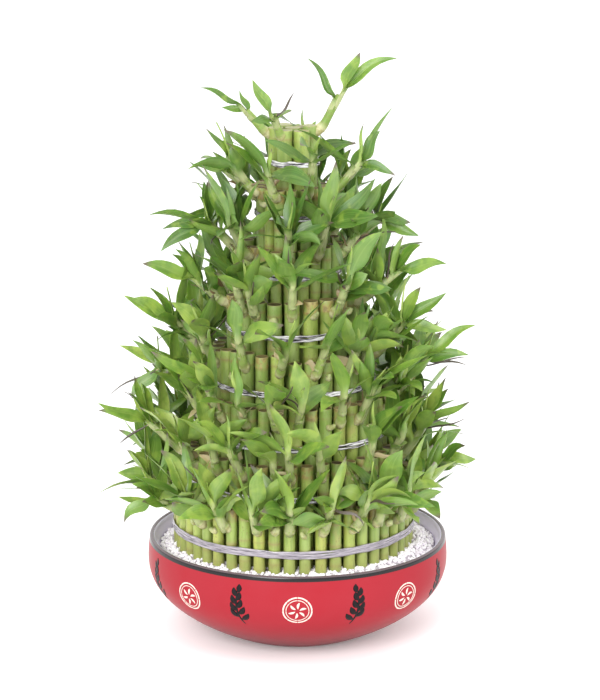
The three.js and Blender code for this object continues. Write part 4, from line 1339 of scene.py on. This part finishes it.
def bowl_profile():
    """Radius and height from the middle of the foot, up the flank, over the lip and down inside."""
    under = [(radius, 0) for radius in FOOT_INNER_RADII]
    under += [(FOOT_RADIUS + out, up) for out, up in FOOT_EDGE]
    low, below_lip = FLANK_SPAN
    flank_z = np.concatenate([
        FLANK_START, np.linspace(low, LIP_HEIGHT - below_lip, FLANK_ROWS), [DARK_LIP_OUTSIDE, LIP_HEIGHT]])
    flank = np.stack([bowl_radius(flank_z), flank_z], -1)
    turn = np.linspace(*LIP_TURN, LIP_ROWS) * np.pi
    lip_middle = bowl_radius(LIP_HEIGHT) - LIP_HALF
    lip = np.stack([lip_middle + LIP_HALF * np.cos(turn), LIP_HEIGHT + LIP_HALF * np.sin(turn)], -1)
    inner_z = np.array(INSIDE_HEIGHTS)
    inner = np.stack(inside_bowl(inner_z, wall_depth(inner_z)), -1)
    floor = [(radius, inner[-1, 1]) for radius in FLOOR_RADII]
    return np.concatenate([under, flank, lip, inner, floor])


def carried_round(profile, columns):
    """Points of a profile of radii and heights carried round the axis, as (row, column, xyz)."""
    angle = even_angles(columns)
    x = profile[:, :1] * np.cos(angle)
    return np.stack([x, profile[:, :1] * np.sin(angle), np.broadcast_to(profile[:, 1:], x.shape)], -1)


BOWL_PROFILE = bowl_profile()
BOWL = closed_bodies("glazed_bowl", carried_round(BOWL_PROFILE, BOWL_COLUMNS)[None], {})

# %% [markdown]
# Each glaze is a material slot of the bowl. Under the foot the clay is bare, because a potter wipes
# the glaze off there so that the bowl doesn't stick to the kiln's shelf.

# %% Glazes by place
BARE_BELOW = 0.2


def lay_glazes(bowl, profile):
    """Material slots by place: 0 red flank, 1 dark lip, 2 pale inside and 3 bare foot."""
    height = (profile[:-1, 1] + profile[1:, 1]) / 2
    outside = np.arange(len(height)) < np.argmax(profile[:, 1])
    zone = np.where(outside, 0, 2)
    zone[height > np.where(outside, DARK_LIP_OUTSIDE, DARK_LIP_INSIDE)] = 1
    zone[height < BARE_BELOW] = 3
    fans = [3] * BOWL_COLUMNS + [2] * BOWL_COLUMNS
    slots = np.concatenate([np.repeat(zone, BOWL_COLUMNS), fans]).astype(np.int32)
    bowl.data.polygons.foreach_set("material_index", slots)
    print("faces of each glaze:", np.bincount(slots).tolist())


lay_glazes(BOWL, BOWL_PROFILE)

# %% [markdown]
# The gravel is a bed with loose white chips lying on it. The bed closes the surface under them. A
# chip is an icosahedron of twenty faces, squeezed and turned at random, because crushed marble is
# angular.

# %% Bed of the gravel
GRAVEL_TOP = 84
GRAVEL_CROWN = 2.5
GRAVEL_SINK = 2
EDGE_HEIGHT = 82
GRAVEL_EDGE = bowl_radius(EDGE_HEIGHT) - wall_depth(EDGE_HEIGHT) - GAP
BED_WALL_HEIGHTS = (14, 30, 50, 62, 68, 74, 79)
BED_FOOT_RADIUS = 40
BED_INNER_RADIUS = 6
BED_TOP_ROWS = 36
BED_RELIEF = (-0.6, 0.3)
BED_COLUMNS = 96


def bed_height(x, y):
    """Height of the gravel: it rises from the bowl's wall to the tower."""
    out = np.hypot(x, y)
    rise = smooth((GRAVEL_EDGE - out) / (GRAVEL_EDGE - TIERS[-1].reach))
    return GRAVEL_TOP - GRAVEL_SINK + (GRAVEL_CROWN + GRAVEL_SINK) * rise


def make_bed():
    """The gravel's body: up along the bowl's wall and in across the top, with an uneven surface."""
    rng = random_for("bed")
    wall_z = np.array(BED_WALL_HEIGHTS)
    wall = np.stack(inside_bowl(wall_z, wall_depth(wall_z) + GAP), -1)
    radii = np.linspace(GRAVEL_EDGE, BED_INNER_RADIUS, BED_TOP_ROWS)
    top = np.stack([radii, np.full(BED_TOP_ROWS, GRAVEL_TOP)], -1)
    points = carried_round(np.concatenate([[[BED_FOOT_RADIUS, wall[0, 1]]], wall, top]), BED_COLUMNS)
    surface = points[-BED_TOP_ROWS:]
    relief = rng.uniform(*BED_RELIEF, surface.shape[:2])
    surface[..., 2] = bed_height(surface[..., 0], surface[..., 1]) + relief
    return closed_bodies("gravel_bed", points[None], {})


BED = make_bed()

# %% [markdown]
# Chips are spread over the bed at random and left out where a cane stands. Each corner of a chip is
# moved a little, so that no two chips are alike, and the faces are shaded flat, as broken stone is.

# %% Chips
CHIP_COUNT = 4200
CHIP_SIZE = (1.2, 2.2)
CHIP_SQUEEZE = (0.6, 1.15)
CHIP_JITTER = (0.8, 1.2)
CHIP_LIFT = (-0.2, 0.9)
CHIPS_FROM = 92
CHIP_TO_CANE = 0.6


def icosahedron():
    """The 12 corners and 20 faces of an icosahedron of radius 1."""
    golden = (1 + math.sqrt(5)) / 2
    corners = [(-1, golden, 0), (1, golden, 0), (-1, -golden, 0), (1, -golden, 0), (0, -1, golden),
               (0, 1, golden), (0, -1, -golden), (0, 1, -golden), (golden, 0, -1), (golden, 0, 1),
               (-golden, 0, -1), (-golden, 0, 1)]
    faces = [(0, 11, 5), (0, 5, 1), (0, 1, 7), (0, 7, 10), (0, 10, 11), (1, 5, 9), (5, 11, 4),
             (11, 10, 2), (10, 7, 6), (7, 1, 8), (3, 9, 4), (3, 4, 2), (3, 2, 6), (3, 6, 8),
             (3, 8, 9), (4, 9, 5), (2, 4, 11), (6, 2, 10), (8, 6, 7), (9, 8, 1)]
    return unit(np.array(corners, float)), np.array(faces)


def make_chips():
    """Chips on the bed: corners jittered, squeezed along three axes, turned and set down."""
    rng = random_for("chips")
    corners, faces = icosahedron()
    out = np.sqrt(rng.uniform(CHIPS_FROM**2, (GRAVEL_EDGE - 1) ** 2, CHIP_COUNT))
    angle = rng.uniform(0, 2 * np.pi, CHIP_COUNT)
    place = np.stack([out * np.cos(angle), out * np.sin(angle)], -1)
    canes = np.concatenate([cane_places(tier)[0] for tier in TIERS[-2:]]) + [TOWER_X, 0]
    apart = np.linalg.norm(place[:, None] - canes[None], axis=2).min(1)
    place = place[apart > TIERS[-1].diameter / 2 + CHIP_TO_CANE]
    count = len(place)
    size = rng.uniform(*CHIP_SIZE, (count, 1, 1)) * rng.uniform(*CHIP_SQUEEZE, (count, 1, 3))
    shape = corners[None] * rng.uniform(*CHIP_JITTER, (count, len(corners), 1)) * size
    turns = np.linalg.qr(rng.normal(size=(count, 3, 3)))[0]
    turns *= np.linalg.det(turns)[:, None, None]
    lift = bed_height(place[:, 0], place[:, 1]) + rng.uniform(*CHIP_LIFT, count)
    points = np.einsum("nij,nkj->nki", turns, shape)
    points += np.concatenate([place, lift[:, None]], 1)[:, None]
    triangles = (faces[None] + len(corners) * np.arange(count)[:, None, None]).reshape(-1, 3)
    tone = np.repeat(rng.uniform(0, 1, count), len(corners))
    chips = make_mesh("gravel_chips", points.reshape(-1, 3), NO_QUADS, triangles, {"tone": tone})
    chips.data.shade_flat()
    return chips


CHIPS = make_chips()

# %% [markdown]
# The bowl's flank carries painted ornaments: cream medallions and black sprigs in turn, all round.
# They are brush strokes of thick glaze, so each stroke is a flat ribbon that stands a little proud
# of the flank. A stroke is drawn on the flank's own surface, with u to the right and v upwards in
# millimetres, and carried onto the bowl by its profile's length.

# %% Ornaments
ORNAMENT_HEIGHT = 61
FLANK_SAMPLES = 400


def on_flank(azimuth, u, v, proud):
    """Points of the flank at u and v from an ornament's middle, a height proud of the glaze."""
    z_table = np.linspace(2, BOWL_HEIGHT, FLANK_SAMPLES)
    r_table = bowl_radius(z_table)
    length = np.concatenate([[0], np.cumsum(np.hypot(np.diff(r_table), np.diff(z_table)))])
    middle = np.interp(ORNAMENT_HEIGHT, z_table, length)
    z = np.interp(middle + v, length, z_table)
    slope = bowl_radius(z + 0.5) - bowl_radius(z - 0.5)
    steep = np.hypot(1, slope)
    radius = bowl_radius(z) + proud / steep
    turn = azimuth + u / radius
    return np.stack([radius * np.cos(turn), radius * np.sin(turn), z - proud * slope / steep], -1)


# %% [markdown]
# A medallion is a double ring with a flower in it, and a sprig a bent stalk with leaves. Both are
# lists of strokes, each a quadratic curve with a half width and a taper at its ends.

# %% Medallions and sprigs
RING_STROKES = ((13, 0.75), (10.4, 0.4))
RING_ARCS = 8
PETALS = 6
PETAL_TURN = 0.25
PETAL_RADII = (2, 6, 8.6)
PETAL_BEND = 0.3
PETAL_WIDTH = 1.2
SPRIG_STALK = ((-4, -20), (5, -5), (0, 17))
STALK_WIDTH = 1.1
STALK_TAPER = 0.6
SPRIG_LEAVES = 9
SPRIG_LOWEST_LEAF = 0.2
SPRIG_LEAFY_PART = 0.75
SPRIG_LEAF_LENGTH = 13
SPRIG_LEAF_SHORTER = 5
SPRIG_LEAF_RISE = 35
SPRIG_LEAF_STEEPER = 45
SPRIG_LEAF_BEND = 0.5
SPRIG_LEAF_WIDTH = 2.7


def turned_to(radius, angle):
    """The point of the flank's plane at a radius and an angle."""
    return radius * math.cos(angle), radius * math.sin(angle)


def medallion():
    """Strokes of a ring with a flower of petals in it: control points, half widths and taper."""
    half = math.pi / RING_ARCS
    strokes = []
    for radius, width in RING_STROKES:
        for first in even_angles(RING_ARCS):
            bulge = turned_to(radius / math.cos(half), first + half)
            points = [turned_to(radius, first), bulge, turned_to(radius, first + 2 * half)]
            strokes.append((points, width, 0.0))
    for turn in 2 * np.pi * (np.arange(PETALS) + PETAL_TURN) / PETALS:
        bends = (0, PETAL_BEND, 0)
        points = [turned_to(radius, turn + bend) for radius, bend in zip(PETAL_RADII, bends)]
        strokes.append((points, PETAL_WIDTH, 1.0))
    return strokes


def sprig(side):
    """Strokes of a bent stalk with leaves to its left and right, shorter and steeper further up."""
    stalk = np.array([(u * side, v) for u, v in SPRIG_STALK], float)
    strokes = [(stalk, STALK_WIDTH, STALK_TAPER)]
    for leaf in range(SPRIG_LEAVES):
        place = SPRIG_LOWEST_LEAF + SPRIG_LEAFY_PART * leaf / (SPRIG_LEAVES - 1)
        root = on_curve(stalk, place)
        out = side if leaf % 2 else -side
        length = SPRIG_LEAF_LENGTH - SPRIG_LEAF_SHORTER * place
        rise = (SPRIG_LEAF_RISE + SPRIG_LEAF_STEEPER * place) * DEGREE
        low = rise - SPRIG_LEAF_BEND
        middle = root + 0.5 * length * np.array([out * math.cos(low), math.sin(low)])
        tip = root + length * np.array([out * math.cos(rise), math.sin(rise)])
        strokes.append(([root, middle, tip], SPRIG_LEAF_WIDTH, 1.0))
    return strokes


# %% [markdown]
# A stroke is painted as a closed ribbon: its upper side stands proud of the flank and its under side
# lies in it, so that no gap shows.

# %% Paint the ornaments
ORNAMENT_COUNT = 16
STROKE_ROWS = np.linspace(0.02, 0.98, 11)
STROKE_COLUMNS = 6
STROKE_PROUD = 0.3
STROKE_SUNK = 0.25
TAPER_POWER = 0.8


def paint(name, strokes):
    """One mesh of strokes given as (azimuth, control points, half width, taper). A stroke's half
    width is w (1 - taper) + w taper sin(pi t)^0.8, so that a leaf is pointed at both its ends."""
    azimuth = np.array([stroke[0] for stroke in strokes])[:, None, None]
    curves = np.array([stroke[1] for stroke in strokes], float)[:, None]
    width, taper = np.array([stroke[2:] for stroke in strokes]).T[..., None]
    middle = on_curve(curves, STROKE_ROWS)
    along = unit(np.gradient(middle, axis=1))
    left = np.stack([-along[..., 1], along[..., 0]], -1)
    half = width * (1 - taper + taper * np.sin(np.pi * STROKE_ROWS) ** TAPER_POWER)
    angle = even_angles(STROKE_COLUMNS)
    flat = middle[:, :, None] + left[:, :, None] * (half[..., None] * np.cos(angle))[..., None]
    rise = np.sin(angle)
    proud = np.where(rise > 0.01, STROKE_PROUD * rise, STROKE_SUNK * rise)
    return closed_bodies(name, on_flank(azimuth, flat[..., 0], flat[..., 1], proud), {})


def ornaments():
    """Cream and black strokes of all ornaments round the bowl, a medallion in the middle of the front."""
    cream, black = [], []
    for place in range(ORNAMENT_COUNT):
        azimuth = 2 * math.pi * place / ORNAMENT_COUNT - math.pi / 2
        if place % 2:
            side = 1 if place < ORNAMENT_COUNT / 2 else -1
            black += [(azimuth, *stroke) for stroke in sprig(side)]
        else:
            cream += [(azimuth, *stroke) for stroke in medallion()]
    return paint("cream_ornaments", cream), paint("black_ornaments", black)


CREAM, BLACK = ornaments()

# %% [markdown]
# The leaves are the living part, satin and a little lit from within. Each has its own tone from
# young yellow-green to old deep green, a pale midrib, fine veins along it, and a pale foot. Some
# tips have dried to brown, husks are papery and tan, and threads are dark brown. The veins are drawn
# about a millimetre apart, which is coarser than real ones, because finer ones wouldn't show.

# %% Material of the leaves
def leaf_material():
    """Lucky bamboo leaf: satin green with lengthwise veins, a pale midrib and foot, some dry tips."""
    material, tree, shader = new_material(
        "leaf", Roughness=0.34, Subsurface_Weight=0.12, Subsurface_Radius=(0.4, 0.9, 0.15),
        Subsurface_Scale=0.002, Specular_IOR_Level=0.5)
    tone, along, across, dry, under = (
        add(tree, "ShaderNodeAttribute", attribute_name=name).outputs["Fac"]
        for name in ("tone", "along", "across", "dry", "under"))
    green = add(tree, "ShaderNodeValToRGB", {"Fac": tone}, (
        (0, "#43621f"), (0.2, "#597a2b"), (0.45, "#6e8b35"), (0.75, "#889f43"), (1, "#a6b45d")))
    green = lay_over(tree, green.outputs["Color"], "#446e26", patches(tree, 15), (0.42, 0.62), (0, 0.6))
    green = lay_over(tree, green, "#94aa44", patches(tree, 10, (1, 1, 1.6), 2), (0.54, 0.7), (0, 0.45))
    blade = add(tree, "ShaderNodeCombineXYZ", {"X": across, "Y": along, "Z": tone}).outputs["Vector"]
    grain = add(tree, "ShaderNodeMapping", {"Vector": blade, "Scale": (9, 0.8, 40)}).outputs["Vector"]
    veins = add(tree, "ShaderNodeTexNoise", {"Vector": grain, "Scale": 1, "Detail": 2}).outputs["Fac"]
    middle = add(tree, "ShaderNodeMath", {0: across}, operation="ABSOLUTE").outputs[0]
    tip = add(tree, "ShaderNodeMath", {0: along, 1: dry}, operation="MULTIPLY").outputs[0]
    green = lay_over(tree, green, "#8baa51", veins, (0.45, 0.7), (0, 0.26))
    green = lay_over(tree, green, "#9fb466", middle, (0, 0.12), (0.18, 0))
    green = lay_over(tree, green, "#829c57", under, (0, 1), (0, 0.35))
    green = lay_over(tree, green, "#a4ac77", along, (-0.1, 0.2), (1, 0))
    colour = lay_over(tree, green, "#62584a", tip, (0.4, 0.48))
    husk = add(tree, "ShaderNodeValToRGB", {"Fac": tone}, (
        (0, "#766343"), (0.5, "#a19269"), (1, "#b3a981")))
    colour = lay_over(tree, colour, husk.outputs["Color"], dry, (0.6, 0.7))
    colour = lay_over(tree, colour, "#4f463d", dry, (0.8, 0.9))
    colour_shader(tree, shader, colour, veins, 0.15)
    return material


# %% [markdown]
# The canes are yellow-green and waxy, with darker streaks a few millimetres wide along them, tan
# blotches and fine brown specks. Their node lines are tan, their feet in the gravel are pale, and
# about a fifth of them have a dried end in rust and tan. The cut faces have dried brown with a pale
# rim, but those of the crown are paler. The stems are young and green with a cream foot.

# %% Materials of the canes and stems
def cane_material():
    """Lucky bamboo cane: waxy yellow-green skin, tan node rings, dried rusty ends and cut faces."""
    material, tree, shader = new_material("cane", Roughness=0.42, Subsurface_Weight=0.08,
                                          Subsurface_Radius=(0.6, 0.8, 0.2), Subsurface_Scale=0.002)
    tone, ring, cut, end = (add(tree, "ShaderNodeAttribute", attribute_name=name).outputs["Fac"]
                            for name in ("tone", "ring", "cut", "end"))
    height = height_of(tree)
    streaks = patches(tree, 9, (0.5, 0.5, 3))
    green = add(tree, "ShaderNodeValToRGB", {"Fac": tone}, (
        (0, "#7d954b"), (0.35, "#8fa458"), (0.65, "#9dac52"), (1, "#b4b45c")))
    rust = add(tree, "ShaderNodeValToRGB", {"Fac": patches(tree, 6)}, (
        (0.36, "#7a5f3c"), (0.48, "#a38f58"), (0.6, "#8f9d55")))
    green = lay_over(tree, green.outputs["Color"], "#6d8734", streaks, (0.42, 0.68), (0, 0.6))
    green = lay_over(tree, green, "#aa985e", patches(tree, 22, detail=4), (0.6, 0.74), (0, 0.45))
    green = lay_over(tree, green, "#8a7a4a", ring, (0.05, 0.8), (0, 0.75))
    green = lay_over(tree, green, rust.outputs["Color"], end, (0.2, 0.6), (0, 0.8))
    green = lay_over(tree, green, "#796139", patches(tree, 1.6, (1, 1, 1.6), 1), (0.64, 0.72), (0, 0.5))
    green = lay_over(tree, green, "#a0a161", height, (0.085, 0.125), (0.55, 0))
    dried = add(tree, "ShaderNodeValToRGB", {"Fac": tone}, (
        (0, "#423527"), (0.5, "#796943"), (1, "#9a9460")))
    dried = lay_over(tree, dried.outputs["Color"], "#b3b887", height, (0.475, 0.48), (0, 0.75))
    colour = lay_over(tree, green, "#a29867", cut, (0.05, 0.35))
    colour = lay_over(tree, colour, dried, cut, (0.4, 0.75))
    colour_shader(tree, shader, colour, streaks, 0.3)
    return material


def stem_material():
    """Young stem: pale green sheaths over each other, with a cream foot and thin tan sheath edges."""
    material, tree, shader = new_material("stem", Roughness=0.5, Subsurface_Weight=0.12,
                                          Subsurface_Radius=(0.6, 0.8, 0.2), Subsurface_Scale=0.002)
    tone, along, ring = (add(tree, "ShaderNodeAttribute", attribute_name=name).outputs["Fac"]
                         for name in ("tone", "along", "ring"))
    streaks = patches(tree, 6)
    green = add(tree, "ShaderNodeValToRGB", {"Fac": tone}, (
        (0, "#73903c"), (0.5, "#859f4e"), (1, "#98ac5e")))
    green = lay_over(tree, green.outputs["Color"], "#6f883b", streaks, (0.4, 0.7), (0, 0.5))
    foot = lay_over(tree, linear("#cfcaa0"), "#aea572", streaks, (0.4, 0.65))
    green = lay_over(tree, green, foot, along, (0.22, 0.4), (0.9, 0))
    colour = lay_over(tree, green, "#817043", ring, (0.2, 1), (0, 0.25))
    colour_shader(tree, shader, colour, streaks, 0.4)
    return material


# %% [markdown]
# The tape is clear film in crumpled strands. Its colour is grey-white with painted reflections:
# dark lines and bright glints along the creases. The creases are about a millimetre apart and a
# centimetre long. The lowest band lies in even light, between leaves and gravel, so its painted
# reflections are softer and it shows few glints. The gravel is crushed white marble. The bed under
# the chips is painted darker, as the shade in the gaps between stones, and its painted shade
# changes every few millimetres.

# %% Materials of the tape and gravel
def tape_material(name, painted_reflections):
    """Crumpled clear film: grey-white, shiny, with painted dark reflections and glints along creases that
    run along the strands.
    """
    material, tree, shader = new_material(name, Roughness=0.16, Alpha=0.9, Coat_Weight=0.6)
    creases = patches(tree, 3, (4, 4, 0.35))
    # Painted reflections: dark lines and bright glints laid along the creases.
    colour = add(tree, "ShaderNodeValToRGB", {"Fac": creases}, painted_reflections)
    colour_shader(tree, shader, colour.outputs["Color"], creases, 0.5)
    return material


def chip_material():
    """Crushed white marble: matt, each chip of its own pale tone."""
    material, tree, shader = new_material("marble_chip", Roughness=0.6)
    tone = add(tree, "ShaderNodeAttribute", attribute_name="tone").outputs["Fac"]
    colour = add(tree, "ShaderNodeValToRGB", {"Fac": tone}, (
        (0, "#e2dae3"), (0.3, "#f9f3fa"), (1, "#fffdff")))
    colour_shader(tree, shader, colour.outputs["Color"])
    return material


def bed_material():
    """The bed under the chips, painted darker as the shade between stones."""
    material, tree, shader = new_material("gravel_bed", Roughness=0.9)
    # Painted shade: the bed is darker than the chips, for the gaps between stones.
    shade = add(tree, "ShaderNodeValToRGB", {"Fac": patches(tree, 2.4)}, (
        (0.3, "#958c96"), (0.7, "#d6ced7")))
    colour_shader(tree, shader, shade.outputs["Color"])
    return material


# %% [markdown]
# The bowl is glazed stoneware. The red glaze is painted darker towards the foot, as painted shade
# where the flank turns under. The lip has a nearly black glaze with a painted highlight along its
# top, the inside a pale one, and the strokes of the ornaments are thick matt glaze.

# %% Materials of the bowl
def red_glaze():
    """Glossy red glaze over stoneware, with painted shade: darker and cooler low on the flank."""
    material, tree, shader = new_material("red_glaze", Roughness=0.34, Specular_IOR_Level=0.07)
    # Painted shade: the flank is painted darker towards the foot, where it turns under.
    colour = lay_over(tree, linear("#9a2b34"), "#701320", height_of(tree), (0.002, 0.05), (1, 0))
    colour = lay_over(tree, colour, "#98141e", patches(tree, 45), (0.4, 0.75), (0, 0.25))
    colour_shader(tree, shader, colour)
    return material


def lip_glaze():
    """Nearly black glossy glaze with a painted highlight: lighter along the top of the lip."""
    material, tree, shader = new_material("dark_lip_glaze", Roughness=0.2, Specular_IOR_Level=0.35)
    # Painted highlight: the top of the lip is painted lighter.
    colour = lay_over(tree, linear("#151013"), "#6b5b60", height_of(tree), (0.0914, 0.0926), (0, 0.9))
    colour_shader(tree, shader, colour)
    return material


def plain(name, colour, roughness, **constants):
    """A material of one colour."""
    return new_material(name, Base_Color=linear(colour), Roughness=roughness, **constants)[0]


LEAF = leaf_material()
CANE = cane_material()
STEM = stem_material()
# Both tapes carry painted reflections in their colour: softer on the lowest band, with white glints on the
# others.
LOW_TAPE = tape_material("tape_with_soft_painted_reflections", (
    (0.3, "#5e5961"), (0.42, "#918b94"), (0.56, "#a79fa9"), (0.7, "#cdc7ce")))
HIGH_TAPE = tape_material("tape_with_painted_glints", (
    (0.36, "#1d1a20"), (0.44, "#6d6770"), (0.5, "#c3bdc6"), (0.58, "#ffffff")))
CHIP = chip_material()
BED_STONE = bed_material()
RED = red_glaze()
DARK_LIP = lip_glaze()
PALE_INSIDE = plain("pale_inside_glaze", "#ece2ff", 0.35)
BARE_FOOT = plain("bare_foot", "#7a3a38", 0.8)
CREAM_GLAZE = plain("cream_glaze", "#dccfc3", 0.4)
BLACK_GLAZE = plain("black_glaze", "#100d10", 0.4, Specular_IOR_Level=0.2)

# %% [markdown]
# Each piece now gets its material, and the nodes of the imported model that it stands for are
# hidden. Everything rides on the one body.

# %% Dress the pieces
DRESSED = []


def dress(piece, slot, nodes, *materials):
    """Gives a piece its materials and body, and hides the nodes it replaces. The slot is not used."""
    DRESSED.append(piece.name)
    for material in materials:
        piece.data.materials.append(material)
    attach(piece, "root")
    if nodes:
        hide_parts(*nodes)


for tier in TIERS:
    dress(CANES[tier.number], "cane_and_leaf", tier.nodes, CANE)
    dress(STEMS[tier.number], "cane_and_leaf", tier.nodes, STEM)
    dress(BUDS[tier.number], "cane_and_leaf", tier.nodes, STEM)
    dress(LEAVES[tier.number], "cane_and_leaf", tier.nodes, LEAF)
    tape = LOW_TAPE if tier is TIERS[-1] else HIGH_TAPE
    dress(TAPES[tier.number], "tape", [f"band_tier_{tier.number}"], tape)
dress(BED, "grit", ["gravel"], BED_STONE)
dress(CHIPS, "grit", ["gravel"], CHIP)
dress(BOWL, "bowl_glaze", ["bowl"], RED, DARK_LIP, PALE_INSIDE, BARE_FOOT)
dress(CREAM, "bowl_glaze", [], CREAM_GLAZE)
dress(BLACK, "bowl_glaze", [], BLACK_GLAZE)
print("dressed", len(DRESSED), "pieces")

# %% [markdown]
# The photograph is a studio shot on white. A wide floor of lit white paper fills the picture, and a
# white sky gives even light from all round. A large soft lamp above and beside the camera models
# the forms, and a weaker one on the other side softens its shadows.

# %% Floor and light
FLOOR_HALF = 15
SKY_STRENGTH = 1.26
PAPER_GLOW = 0.12
LOOKED_AT = (0, 0, 0.25)
LAMPS = (
    ("key", (-1.2, -3.1, 1.8), 1.6, 96),
    ("fill", (2.4, -1.6, 1.6), 1.6, 28),
)


def make_floor():
    """A square floor under the foot, wide enough to fill the picture."""
    corners = np.array([(-1, -1, 0), (1, -1, 0), (1, 1, 0), (-1, 1, 0)], float) * FLOOR_HALF / MM
    floor = make_mesh("floor", corners, np.array([[0, 1, 2, 3]]), NO_TRIANGLES, {})
    glow = dict(Emission_Color=linear("#ffffff"), Emission_Strength=PAPER_GLOW)
    paper = plain("lit_paper", "#fbfbfb", 0.9, **glow)
    floor.data.materials.append(paper)


def make_lamps():
    """Square area lamps that look at the middle of the plant."""
    for name, place, size, power in LAMPS:
        data = bpy.data.lights.new(name, "AREA")
        data.size = size
        data.energy = power
        lamp = bpy.data.objects.new(name, data)
        lamp.location = place
        away = np.array(place) - LOOKED_AT
        level = math.hypot(away[0], away[1])
        lamp.rotation_euler = (math.atan2(level, away[2]), 0, math.atan2(away[1], away[0]) + math.pi / 2)
        bpy.context.scene.collection.objects.link(lamp)


def make_sky():
    """An even white sky."""
    world = bpy.data.worlds.new("sky")
    world.use_nodes = True
    sky = world.node_tree.nodes["Background"]
    sky.inputs["Color"].default_value = linear("#ffffff")
    sky.inputs["Strength"].default_value = SKY_STRENGTH
    bpy.context.scene.world = world


make_floor()
make_lamps()
make_sky()
